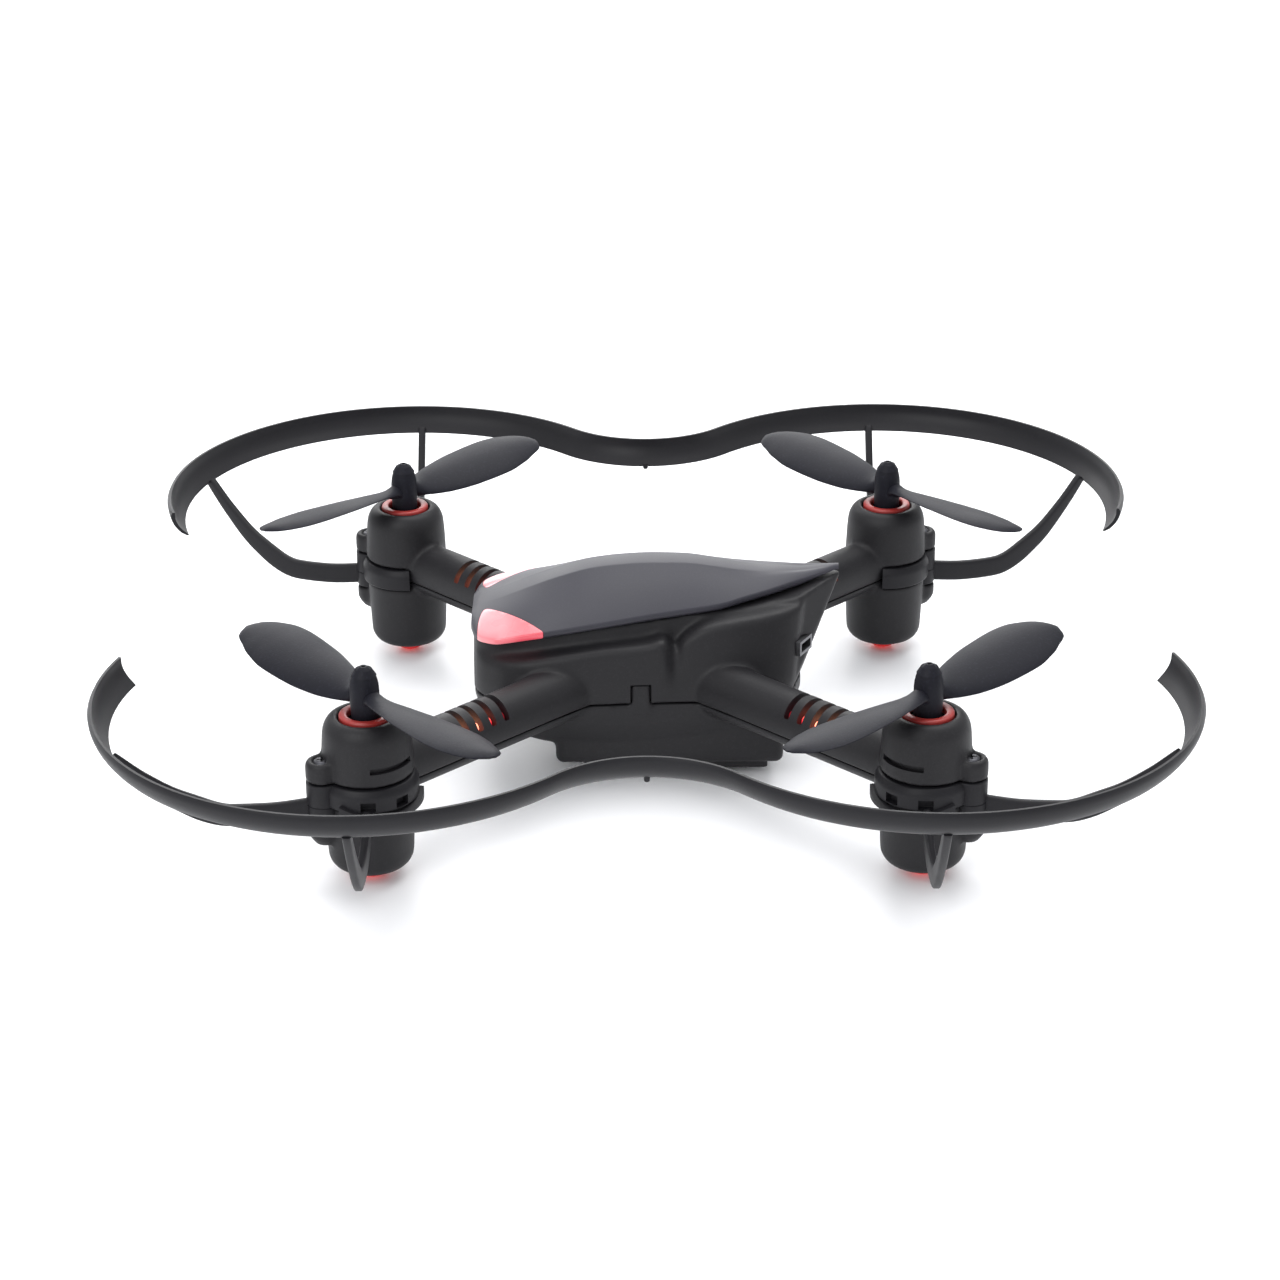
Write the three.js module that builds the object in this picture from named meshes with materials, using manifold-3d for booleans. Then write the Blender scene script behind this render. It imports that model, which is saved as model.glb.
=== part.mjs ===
// A palm-sized quadcopter with propeller guards, as a scene graph of separate pieces.
// Units are millimetres. +Z is up and z = 0 is the ground under the four feet.
// The nose points along -X, the left side is -Y, and the origin is on the ground
// under the middle of the four motors.
import * as THREE from 'three';
import { ParametricGeometry } from 'three/addons/geometries/ParametricGeometry.js';
import { RoundedBoxGeometry } from 'three/addons/geometries/RoundedBoxGeometry.js';
import { mergeVertices } from 'three/addons/utils/BufferGeometryUtils.js';
import Module from 'manifold-3d';

const wasm = await Module();
wasm.setup();

// ---------------------------------------------------------------- driving sizes
const MOTOR_PITCH = 103;        // from motor axis to motor axis, both ways
const GAP = 0.3;                // air between pieces that touch
const WALL = 1.3;               // shell thickness
const SEAM_Z = 18.5;            // where the upper and lower hulls meet
const SMOOTH = 16;              // sides of a large round piece
const COARSE = 8;               // sides of a small round piece

// motor, shaft and propeller
const MOTOR_RADIUS = 4.25;
const MOTOR_LENGTH = 20;
const MOTOR_TOP_Z = 30;
const SHAFT_RADIUS = 0.5;
const SHAFT_IN_MOTOR = 8;
const BLADE_RADIUS = 37.6;
const BLADE_Z = 37.6;
const BLADE_THICKNESS = 1.0;
const BLADE_CAMBER = 1.3;
const BLADE_RISE = 1.7;          // how far a blade climbs from the hub to its tip
const HUB_RADIUS = 2.7;
const HUB_BOTTOM_Z = 32.4;
const HUB_TOP_Z = 42.7;

// pod: the upper housing, the lower can, the neck between them and the screw boss
const POD_RADIUS = 8.5;
const POD_TOP_RADIUS = 6.3;
const POD_BOTTOM_Z = 21.8;
const POD_TOP_Z = 33.1;
const NECK_RADIUS = 6.6;
const CAN_RADIUS = 8.5;
const CAN_BASE_RADIUS = 7.9;
const CAN_BOTTOM_Z = 2.6;
const RING_RADIUS = 4.95;
const RING_HOLE_RADIUS = 3.4;
const RING_HEIGHT = 1.5;
const RING_PROUD = 0.3;
const BOSS_RADIUS = 3.1;
const BOSS_DISTANCE = 8.8;
const BOSS_TURN = THREE.MathUtils.degToRad(25);
const BOSS_TOP_Z = 26.3;
const BOSS_BOTTOM_Z = 8.5;

// foot under each can
const FOOT_RADIUS = 3.3;
const FOOT_STEM_RADIUS = 1.9;
const FOOT_FLAT_RADIUS = 1.4;
const FOOT_STEM_TOP_Z = 6.2;

// guard: the wavy band, its collars round the pod necks and the ribbon struts
const GUARD_RADIUS = 50;        // of the band's top edge about each motor axis
const DIP_RADIUS = 21.3;        // of the band's inward curve between its two lobes
const GUARD_END_TURN = THREE.MathUtils.degToRad(18);
const BAND_TOP_Z = 37.8;
const BAND_BOTTOM_Z = 32.4;
const BAND_LEAN = 2.7;          // how far the bottom edge sits inside the top edge
const BAND_BULGE = 0.9;
const BAND_THICKNESS = 0.9;
const BAND_INSET = 2.1;         // where the end struts reach the band, inside its top edge
const COLLAR_RADIUS = 9.4;
const COLLAR_BOTTOM_Z = 17.1;
const COLLAR_MOUTH = 11;        // width of the C's opening, on the arm's side
const GUARD_BOSS_BOTTOM_Z = 13.7;
const STRUT_HEIGHT = 4.3;
const STRUT_TIP_HEIGHT = 1.8;
const STRUT_THICKNESS = 1.6;

// arm: an oval tube from the hull to each pod, with vent slots over its light board
const ARM_Z = 20.6;
const ARM_HALF_WIDTH = 5.0;
const ARM_HALF_HEIGHT = 5.6;
const ARM_ROOT_WIDER = 1.3;
const ARM_START = 14;           // along the diagonal from the middle
const CHANNEL_RADIUS = 3.2;
const VENT_COUNT = 4;
const VENT_WIDTH = 1.2;
const VENT_SPACING = 3.3;
const VENT_FIRST = 42;        // along the diagonal from the middle
const VENT_LENGTH = 7;
const LIGHT_BOARD = { length: 13, width: 5, thickness: 1 };
const LED = { size: 2, height: 1.6 };

// body
const BELLY = { front: -18, rear: 27, halfWidth: 15.5, bottom: 4.5, top: 14, corner: 2.5 };
const BAY = { front: -12.5, rear: 24, halfWidth: 12.6, floor: 2, top: 15.6 };
const BAY_ROOF = 1.2;
const BATTERY = { length: 31, width: 22, height: 8 };
const BATTERY_X = 5.5;
const BOARD = { length: 34, width: 22, thickness: 1.6, z: 20.4 };
const POST_RADIUS = 1.5;
const CANOPY_LIP = 1.5;
const CANOPY_WALL = 1.4;
const BOARD_ROOM_TOP_Z = 34;
const TAB = { x: -1.1, width: 3.6, thickness: 1.4, bottom: 16.5, top: 22.6, outer: 17.7 };

// battery door with its hinge pin, and the power button
const DOOR = { rear: 19.5, halfWidth: 10.5, thickness: 1.4 };
const HINGE_X = -14.2;
const HINGE_RADIUS = 1.0;
const HINGE_PIN_RADIUS = 0.45;
const HINGE_PIN_BORE = 0.75;
const HINGE_PIN_BITE = 2;       // how far the pin runs into the hull past each end of the door
const BUTTON = { x: 23, radius: 1.8, proud: 0.8, flange: 2.4, flangeHeight: 0.8 };
const SOCKET = { x: 29.2, y: -8.2, z: 27.5, depth: 5, width: 5.2, height: 3, turn: 0.5 };
const SCREW = { head: 1.7, headHeight: 1.2, shank: 0.8, tip: 11.5 };
const HULL_SCREW = { x: -24, headZ: 10.8, head: 1.5, headHeight: 1, shank: 0.7, tip: 24 };

// ---------------------------------------------------------------- sizes worked out
const HALF_PITCH = MOTOR_PITCH / 2;
const BORE_RADIUS = MOTOR_RADIUS + GAP;
const BAY_FLOOR_Z = BELLY.bottom + BAY.floor;
const RING_FLOOR_Z = POD_TOP_Z + RING_PROUD - RING_HEIGHT - GAP;
const MOTOR_BOTTOM_Z = MOTOR_TOP_Z - MOTOR_LENGTH;
const SHAFT_BOTTOM_Z = MOTOR_TOP_Z - SHAFT_IN_MOTOR;
const SHAFT_HOLE = SHAFT_RADIUS + GAP;
const COLLAR_TOP_Z = POD_BOTTOM_Z - GAP;
const UPPER_BASE_Z = SEAM_Z + GAP / 2;
const LOWER_TOP_Z = SEAM_Z - GAP / 2;
const CAN_TOP_Z = COLLAR_BOTTOM_Z - GAP;
const DIAGONAL = Math.hypot(HALF_PITCH, HALF_PITCH);
const SIDES = { left: -1, right: 1 };
const ENDS = { front: -1, rear: 1 };
const CORNERS = Object.entries(ENDS).flatMap(([end, sx]) =>
  Object.entries(SIDES).map(([side, sy]) => ({ name: `${end}_${side}`, sx, sy })));

// ---------------------------------------------------------------- shape helpers
const v2 = (x, y) => new THREE.Vector2(x, y);
const v3 = (x, y, z) => new THREE.Vector3(x, y, z);

// A closed solid from a geometry: shared corners merged, flat triangles dropped, faces outwards.
function solid(geometry) {
  const bare = geometry.clone();
  bare.deleteAttribute('normal');
  bare.deleteAttribute('uv');
  const merged = mergeVertices(bare, 1e-4);
  const index = merged.index.array;
  const build = (reverse) => {
    const corners = [];
    for (let i = 0; i < index.length; i += 3) {
      const [a, b, c] = [index[i], index[i + 1], index[i + 2]];
      if (a !== b && b !== c && c !== a) corners.push(...(reverse ? [a, c, b] : [a, b, c]));
    }
    return new wasm.Manifold(new wasm.Mesh({
      numProp: 3,
      vertProperties: new Float32Array(merged.attributes.position.array),
      triVerts: new Uint32Array(corners),
    }));
  };
  const made = build(false);
  return made.volume() > 0 ? made : build(true);
}

const join = (...solids) => solids.reduce((all, one) => all.add(one));
const cut = (body, ...tools) => tools.reduce((left, tool) => left.subtract(tool), body);

// A turned piece about the vertical axis. The profile is [radius, z] from axis to axis.
function turned(profile, sides = SMOOTH) {
  return new THREE.LatheGeometry(profile.map(([r, z]) => v2(r, z)), sides).rotateX(Math.PI / 2);
}

function rod(radius, low, high, sides = COARSE) {
  return turned([[0, low], [radius, low], [radius, high], [0, high]], sides);
}

function block(xs, ys, zs) {
  const size = [xs, ys, zs].map(([low, high]) => high - low);
  const middle = [xs, ys, zs].map(([low, high]) => (high + low) / 2);
  return new THREE.BoxGeometry(...size).translate(...middle);
}

function roundedBlock(xs, ys, zs, radius) {
  const size = [xs, ys, zs].map(([low, high]) => high - low);
  const middle = [xs, ys, zs].map(([low, high]) => (high + low) / 2);
  return new RoundedBoxGeometry(...size, 1, radius).translate(...middle);
}

// A closed skin through a row of rings, each a list of points, with flat ends.
function loft(rings) {
  const sides = rings[0].length;
  const middle = (ring) => ring.reduce((sum, p) => sum.add(p), v3(0, 0, 0)).divideScalar(sides);
  const cap = (ring) => Array(sides).fill(middle(ring));
  const rows = [cap(rings[0]), ...rings, cap(rings.at(-1))];
  const last = rows.length - 1;
  const skin = (u, v, target) => target.copy(rows[Math.round(v * last)][Math.round(u * sides) % sides]);
  return new ParametricGeometry(skin, sides, last);
}

// A copy for another corner of the aircraft. Shapes are made for the corner at +X, +Y.
function atCorner(geometry, { sx, sy }) {
  return geometry.clone().applyMatrix4(new THREE.Matrix4().makeScale(sx, sy, 1));
}

const atMotor = (geometry) => geometry.clone().translate(HALF_PITCH, HALF_PITCH, 0);
const BOSS_X = BOSS_DISTANCE * Math.cos(BOSS_TURN);
const BOSS_Y = BOSS_DISTANCE * Math.sin(BOSS_TURN);
const atBoss = (geometry) => atMotor(geometry.clone().translate(BOSS_X, BOSS_Y, 0));

// ---------------------------------------------------------------- hull skins
// Stations along the hull: x, half width, top z, bottom z and the lean of a ring towards +X.
const HULL_STATIONS = [
  [-34, 10.5, 31.0, 16.0, 0], [-33, 12.6, 31.9, 14.0, 0], [-29, 15.2, 33.2, 11.5, 0],
  [-20, 17.4, 34.0, 8.5, 0], [-7, 17.4, 34.6, 7.0, 0], [7, 17.2, 35.0, 6.5, 0],
  [20, 16.6, 35.4, 7.0, 0], [27, 13.6, 35.8, 9.0, 1], [30, 8.0, 36.2, 13.0, 4],
  [31.2, 3.4, 36.6, 16.0, 5.5],
];
const HULL_RING_POINTS = 16;
const HULL_SQUARENESS = 0.72;
const HULL_WAIST_Z = 22;

function hullRing([x, halfWidth, top, bottom, lean], inset) {
  const power = (value) => Math.sign(value) * Math.abs(value) ** HULL_SQUARENESS;
  return Array.from({ length: HULL_RING_POINTS }, (_, i) => {
    const turn = (i / HULL_RING_POINTS) * 2 * Math.PI;
    const reach = Math.sin(turn) > 0 ? top - inset - HULL_WAIST_Z : HULL_WAIST_Z - bottom - inset;
    const z = HULL_WAIST_Z + reach * power(Math.sin(turn));
    const along = x + lean * (z - bottom) / (top - bottom);
    return v3(along, (halfWidth - inset) * power(Math.cos(turn)), z);
  });
}

function hullSkin(inset = 0) {
  const shift = (x, i) => x + inset * (i === 0 ? 1 : 0) - inset * (i === HULL_STATIONS.length - 1 ? 1 : 0);
  return solid(loft(HULL_STATIONS.map(([x, ...rest], i) => hullRing([shift(x, i), ...rest], inset))));
}

// ---------------------------------------------------------------- arms and pods
function armTube(halfWidth, halfHeight, rootWider, start, end) {
  const ring = (along, scale) => Array.from({ length: COARSE }, (_, i) => {
    const turn = (i / COARSE) * 2 * Math.PI;
    return v3(along, halfWidth * scale * Math.cos(turn), ARM_Z + halfHeight * scale * Math.sin(turn));
  });
  return loft([ring(start, rootWider), ring(end, 1)]).rotateZ(Math.PI / 4);
}

const ARM_END = DIAGONAL - NECK_RADIUS + 1;
const armOuter = armTube(ARM_HALF_WIDTH, ARM_HALF_HEIGHT, ARM_ROOT_WIDER, ARM_START, ARM_END);
const armChannel = armTube(CHANNEL_RADIUS, CHANNEL_RADIUS, 1, ARM_START, DIAGONAL);

function ventSlot(i) {
  const along = VENT_FIRST + i * VENT_SPACING;
  const half = VENT_WIDTH / 2;
  return block([along - half, along + half], [-VENT_LENGTH / 2, VENT_LENGTH / 2],
    [ARM_Z + CHANNEL_RADIUS / 2, ARM_Z + ARM_HALF_HEIGHT * ARM_ROOT_WIDER + 1]).rotateZ(Math.PI / 4);
}

const upperPod = turned([
  [0, UPPER_BASE_Z], [NECK_RADIUS, UPPER_BASE_Z], [NECK_RADIUS, POD_BOTTOM_Z], [POD_RADIUS, POD_BOTTOM_Z],
  [POD_RADIUS - 0.6, POD_TOP_Z - 2.6], [POD_RADIUS - 1.1, POD_TOP_Z - 0.9], [POD_TOP_RADIUS, POD_TOP_Z], [0, POD_TOP_Z],
]);
const lowerCan = turned([
  [0, CAN_BOTTOM_Z], [CAN_BASE_RADIUS - 2.2, CAN_BOTTOM_Z], [CAN_BASE_RADIUS - 0.6, CAN_BOTTOM_Z + 1],
  [CAN_BASE_RADIUS, CAN_BOTTOM_Z + 2.5], [CAN_RADIUS, CAN_TOP_Z], [NECK_RADIUS, CAN_TOP_Z],
  [NECK_RADIUS, LOWER_TOP_Z], [0, LOWER_TOP_Z],
]);
const motorBore = rod(BORE_RADIUS, MOTOR_BOTTOM_Z - GAP, MOTOR_TOP_Z + GAP, SMOOTH);
const shaftHole = rod(SHAFT_RADIUS * 3, MOTOR_TOP_Z, POD_TOP_Z + 1);
const ringSeat = rod(RING_RADIUS + GAP, RING_FLOOR_Z, POD_TOP_Z + 1, SMOOTH);
const footHole = rod(FOOT_STEM_RADIUS + GAP, CAN_BOTTOM_Z - 1, MOTOR_BOTTOM_Z);
const collarBossRoom = rod(BOSS_RADIUS + GAP, GUARD_BOSS_BOTTOM_Z - GAP, POD_BOTTOM_Z, COARSE);
const screwBore = rod(SCREW.shank + GAP, SCREW.tip - GAP, BOSS_TOP_Z);
const SCREW_SEAT_Z = BOSS_TOP_Z - SCREW.headHeight - 3 * GAP;
const screwSeat = rod(SCREW.head + GAP, SCREW_SEAT_Z, BOSS_TOP_Z + 1);

// ---------------------------------------------------------------- what joins the hull halves
// A screw in the nose, and on each side a snap tab of the lower hull in a window of the upper one.
const inNose = (geometry) => solid(geometry.translate(HULL_SCREW.x, 0, 0));
const nosePost = (low, high) => inNose(rod(HULL_SCREW.head + WALL, low, high)).intersect(hullSkin(WALL / 2));

function snapTab(sy, grow) {
  const half = TAB.width / 2 + grow;
  const ys = [sy * (TAB.outer - TAB.thickness - grow), sy * (TAB.outer + 2 * grow)];
  return solid(block([TAB.x - half, TAB.x + half], ys.toSorted((a, b) => a - b), [TAB.bottom, TAB.top + grow]));
}

// ---------------------------------------------------------------- upper and lower hull
const arms = CORNERS.map((corner) => solid(atCorner(armOuter, corner)));
const channels = CORNERS.map((corner) => solid(atCorner(armChannel, corner)));
const above = solid(block([-120, 120], [-120, 120], [UPPER_BASE_Z, 80]));
const below = solid(block([-120, 120], [-120, 120], [-10, LOWER_TOP_Z]));
const cavity = cut(hullSkin(WALL), solid(block([-60, 60], [-60, 60], [-10, BAY.top + BAY_ROOF])));

function socketBlock(grow) {
  const half = SOCKET.depth / 2;
  const box = block([-half - grow, half + 4 * grow], [-SOCKET.width / 2 - grow, SOCKET.width / 2 + grow],
    [-SOCKET.height / 2 - grow, SOCKET.height / 2 + grow]);
  return box.rotateZ(-SOCKET.turn).translate(SOCKET.x, SOCKET.y, SOCKET.z);
}

function upperHull() {
  const pods = CORNERS.flatMap((corner) => [
    solid(atCorner(atMotor(upperPod), corner)),
    solid(atCorner(atBoss(rod(BOSS_RADIUS, POD_BOTTOM_Z, BOSS_TOP_Z)), corner)),
  ]);
  const holes = CORNERS.flatMap((corner) => [
    ...[motorBore, shaftHole, ringSeat].map((tool) => solid(atCorner(atMotor(tool), corner))),
    ...[collarBossRoom, screwBore, screwSeat].map((tool) => solid(atCorner(atBoss(tool), corner))),
    solid(atCorner(collarRoom(), corner)),
    ...Array.from({ length: VENT_COUNT }, (_, i) => solid(atCorner(ventSlot(i), corner))),
  ]);
  const outside = join(hullSkin(), ...arms, ...pods);
  const shell = cut(outside.intersect(above), cavity, ...channels, ...holes);
  const bite = inNose(rod(HULL_SCREW.shank + GAP, 0, HULL_SCREW.tip + GAP));
  const windows = Object.values(SIDES).map((sy) => snapTab(sy, GAP));
  return cut(join(shell, nosePost(UPPER_BASE_Z, BOARD_ROOM_TOP_Z)), bite, ...windows, solid(socketBlock(GAP)));
}

function lowerHull() {
  const bellySides = [[BELLY.front, BELLY.rear], [-BELLY.halfWidth, BELLY.halfWidth]];
  const belly = solid(roundedBlock(...bellySides, [BELLY.bottom, BELLY.top], BELLY.corner));
  const cans = CORNERS.flatMap((corner) => [
    solid(atCorner(atMotor(lowerCan), corner)),
    solid(atCorner(atBoss(turned([[0, BOSS_BOTTOM_Z], [BOSS_RADIUS - 1, BOSS_BOTTOM_Z],
      [BOSS_RADIUS, BOSS_BOTTOM_Z + 2], [BOSS_RADIUS, GUARD_BOSS_BOTTOM_Z - GAP],
      [0, GUARD_BOSS_BOTTOM_Z - GAP]], COARSE)), corner)),
  ]);
  const holes = CORNERS.flatMap((corner) => [
    ...[motorBore, footHole].map((tool) => solid(atCorner(atMotor(tool), corner))),
    ...[collarBossRoom, screwBore].map((tool) => solid(atCorner(atBoss(tool), corner))),
    solid(atCorner(collarRoom(), corner)),
  ]);
  const bay = solid(block([BAY.front, BAY.rear], [-BAY.halfWidth, BAY.halfWidth], [BAY_FLOOR_Z, BAY.top]));
  const outside = join(hullSkin(), belly, ...arms, ...cans);
  const shell = cut(outside.intersect(below), cavity, ...channels, ...holes, bay, doorRoom(), buttonRoom());
  const posts = boardPosts(BAY.top + BAY_ROOF - 0.5, BOARD.z - GAP).map((post) => solid(post));
  const tabs = Object.values(SIDES).map((sy) => snapTab(sy, 0));
  const bite = inNose(rod(HULL_SCREW.shank + GAP, 0, SEAM_Z + 1));
  const seat = inNose(rod(HULL_SCREW.head + GAP, 0, HULL_SCREW.headZ + HULL_SCREW.headHeight + GAP));
  return cut(join(shell, nosePost(HULL_SCREW.headZ, LOWER_TOP_Z), ...tabs, ...posts), bite, seat);
}

function boardPosts(low, high) {
  const [x, y] = [BOARD.length / 2 - POST_RADIUS, BOARD.width / 2 - POST_RADIUS];
  return [[-x, -y], [-x, y], [x, -y], [x, y]].map(([px, py]) => rod(POST_RADIUS, low, high).translate(px, py, 0));
}

// ---------------------------------------------------------------- canopy and eye windows
// Stations along the canopy: x, spine half width, spine z, edge half width and edge z.
const CANOPY_STATIONS = [
  [-34.4, 2.0, 32.6, 8.0, 31.6], [-32.4, 2.4, 33.8, 14.2, 31.9], [-28.5, 2.7, 35.3, 16.6, 32.3],
  [-22, 2.8, 37.8, 16.7, 33.3], [-13, 2.8, 40.9, 16.0, 34.4], [-5, 2.8, 42.2, 14.9, 35.4],
  [4, 2.8, 42.5, 13.2, 36.2], [14.5, 2.4, 41.3, 11.0, 37.0], [24.5, 1.7, 40.0, 7.8, 38.0],
  [33, 1.0, 40.3, 3.6, 39.4], [38, 0.5, 40.9, 1.2, 40.4],
];
const ROOF_CROWN = 0.7;

function canopyRing([x, spineHalf, spineZ, edgeHalf, edgeZ], inset, floor) {
  const wide = edgeHalf - inset;
  const mid = (spineHalf + wide) / 2;
  const midZ = (spineZ + edgeZ) / 2 + ROOF_CROWN - inset;
  const low = edgeZ - CANOPY_LIP - floor;
  const half = [[spineHalf, spineZ - inset], [mid, midZ], [wide, edgeZ - inset], [wide - 0.4, low]];
  const right = half.map(([y, z]) => v3(x, y, z));
  const left = half.toReversed().map(([y, z]) => v3(x, -y, z));
  return [...right, ...left];
}

function canopySkin(inset, floor) {
  const rows = CANOPY_STATIONS.filter(([, , , edgeHalf]) => edgeHalf > inset + 1);
  const nose = (x, i) => (i === 0 ? x + inset : x);
  return solid(loft(rows.map(([x, ...rest], i) => canopyRing([nose(x, i), ...rest], inset, floor))));
}

// The eye window, seen from above at +Y: its outline runs out over the canopy's edge.
// It is grown away from its middle and stood up as a prism.
const EYE_MIDDLE = v2(-28, 13.5);
const EYE_OUTLINE = [v2(-31.9, 5.4), v2(-19.9, 16.8), v2(-20.4, 20), v2(-32.9, 20), v2(-32.9, 9.4)];
const EYE_GROWTH = 2.6;         // vertex travel for each millimetre between the two outlines' sides

function eyeBlock(sy, grow) {
  const away = (point) => point.clone().sub(EYE_MIDDLE).normalize().multiplyScalar(EYE_GROWTH * grow);
  const plan = EYE_OUTLINE.map((point) => point.clone().add(away(point)));
  const ring = (z) => plan.map(({ x, y }) => v3(x, y * sy, z));
  return solid(loft([ring(HULL_WAIST_Z), ring(HUB_TOP_Z + 1)]));
}

const canopyShell = cut(canopySkin(0, 0), canopySkin(CANOPY_WALL, 3), hullSkin(-GAP));
const canopy = cut(canopyShell, eyeBlock(-1, GAP), eyeBlock(1, GAP));
const eyeWindow = (sy) => canopyShell.intersect(eyeBlock(sy, 0));

// ---------------------------------------------------------------- battery door and button
const DOOR_LOW_Z = BELLY.bottom;
const DOOR_TOP_Z = DOOR_LOW_Z + DOOR.thickness;
const HINGE_Z = DOOR_LOW_Z + HINGE_RADIUS;

function alongY(radius, half) {
  return rod(radius, -half, half).rotateX(Math.PI / 2).translate(HINGE_X, 0, HINGE_Z);
}

// The room in the belly for the door, for the swing of its hinged edge and for the pin.
function doorRoom() {
  const half = DOOR.halfWidth + GAP;
  const hinge = solid(alongY(HINGE_RADIUS + GAP, half));
  const swing = solid(block([HINGE_X - HINGE_RADIUS - GAP, HINGE_X], [-half, half], [BELLY.bottom - 1, HINGE_Z]));
  const plate = solid(block([HINGE_X, DOOR.rear + GAP], [-half, half], [BELLY.bottom - 1, BAY_FLOOR_Z + 0.1]));
  const pin = solid(alongY(HINGE_PIN_RADIUS + GAP, half + HINGE_PIN_BITE));
  return join(hinge, swing, plate, pin);
}

function batteryDoor() {
  const plate = block([HINGE_X, DOOR.rear], [-DOOR.halfWidth, DOOR.halfWidth], [DOOR_LOW_Z, DOOR_TOP_Z]);
  const barrel = alongY(HINGE_RADIUS, DOOR.halfWidth);
  return cut(join(solid(plate), solid(barrel)), solid(alongY(HINGE_PIN_BORE, DOOR.halfWidth + 2)));
}

const BUTTON_TOP_Z = BELLY.bottom + WALL + GAP + BUTTON.flangeHeight;

function buttonRoom() {
  const stem = rod(BUTTON.radius + GAP, 0, BELLY.bottom + 3).translate(BUTTON.x, 0, 0);
  const well = rod(BUTTON.flange + GAP, BELLY.bottom + WALL, BAY.top).translate(BUTTON.x, 0, 0);
  return join(solid(stem), solid(well));
}

function powerButton() {
  return turned([[0, BELLY.bottom - BUTTON.proud], [BUTTON.radius, BELLY.bottom - BUTTON.proud],
    [BUTTON.radius, BELLY.bottom + WALL + GAP], [BUTTON.flange, BELLY.bottom + WALL + GAP],
    [BUTTON.flange, BUTTON_TOP_Z], [0, BUTTON_TOP_Z]], COARSE);
}

// ---------------------------------------------------------------- guards
// The collar's room round the neck, so that the arm's root stays clear of the C.
function collarRoom() {
  const ring = turned([[NECK_RADIUS, COLLAR_BOTTOM_Z - GAP], [COLLAR_RADIUS + GAP, COLLAR_BOTTOM_Z - GAP],
    [COLLAR_RADIUS + GAP, POD_BOTTOM_Z], [NECK_RADIUS, POD_BOTTOM_Z], [NECK_RADIUS, COLLAR_BOTTOM_Z - GAP]]);
  const halfMouth = COLLAR_MOUTH / 2 - GAP;
  const mouth = block([-2 * COLLAR_RADIUS, 0], [-halfMouth, halfMouth], [0, 60]).rotateZ(Math.PI / 4);
  return geometryOf(cut(solid(atMotor(ring)), solid(atMotor(mouth))));
}

function collar() {
  const ring = turned([[NECK_RADIUS + GAP, COLLAR_BOTTOM_Z], [COLLAR_RADIUS, COLLAR_BOTTOM_Z],
    [COLLAR_RADIUS, COLLAR_TOP_Z], [NECK_RADIUS + GAP, COLLAR_TOP_Z], [NECK_RADIUS + GAP, COLLAR_BOTTOM_Z]]);
  const boss = rod(BOSS_RADIUS, GUARD_BOSS_BOTTOM_Z, COLLAR_TOP_Z);
  const mouth = block([-2 * COLLAR_RADIUS, 0], [-COLLAR_MOUTH / 2, COLLAR_MOUTH / 2], [0, 60]).rotateZ(Math.PI / 4);
  const neckRoom = turned([[0, COLLAR_BOTTOM_Z], [NECK_RADIUS + GAP, COLLAR_BOTTOM_Z],
    [NECK_RADIUS + GAP, COLLAR_TOP_Z + 1], [0, COLLAR_TOP_Z + 1]]);
  const joined = join(solid(atMotor(ring)), solid(atBoss(boss)));
  return geometryOf(cut(joined, solid(atMotor(mouth)), solid(atMotor(neckRoom))));
}

// A ribbon strut from the collar to the band. Its points are [out, across, z]: out is 0 at the
// collar and 1 at the band, across is a share of the same reach, and z is a height.
const STRUT_STEPS = 7;
const STRUT_REACH = GUARD_RADIUS - BAND_INSET - COLLAR_RADIUS;
const SIDE_STRUT = [
  [0.04, 0.11, 15.85], [0.21, 0.133, 15.6], [0.4, 0.17, 16.3], [0.64, 0.27, 21.8], [0.8, 0.37, 28], [0.936, 0.467, 33.9],
];
const END_STRUT = [
  [-0.01, -0.01, 19.6], [0.1, -0.013, 17], [0.31, -0.016, 14.9], [0.54, -0.017, 15.6], [0.77, -0.017, 22.6],
  [1, -0.017, 34],
];

function strut(points, alongX) {
  const place = ([out, across, z]) => {
    const [far, aside] = [COLLAR_RADIUS + out * STRUT_REACH, across * STRUT_REACH];
    return alongX ? v3(far, aside, z) : v3(aside, far, z);
  };
  const curve = new THREE.CatmullRomCurve3(points.map(place));
  const rings = Array.from({ length: STRUT_STEPS + 1 }, (_, i) => {
    const t = i / STRUT_STEPS;
    const [at, tangent] = [curve.getPointAt(t), curve.getTangentAt(t)];
    const side = v3(tangent.y, -tangent.x, 0).normalize();
    const rise = side.clone().cross(tangent).normalize();
    const half = THREE.MathUtils.lerp(STRUT_HEIGHT, STRUT_TIP_HEIGHT, Math.max(0, 2 * t - 1)) / 2;
    return [[1, 1], [-1, 1], [-1, -1], [1, -1]].map(([a, b]) => at.clone()
      .addScaledVector(side, a * STRUT_THICKNESS / 2).addScaledVector(rise, b * half));
  });
  return loft(rings);
}

// The band's plan: a lobe about each motor axis and a dip between them, every arc tangent.
const LOBE_STEPS = 16;
const DIP_STEPS = 8;

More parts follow.
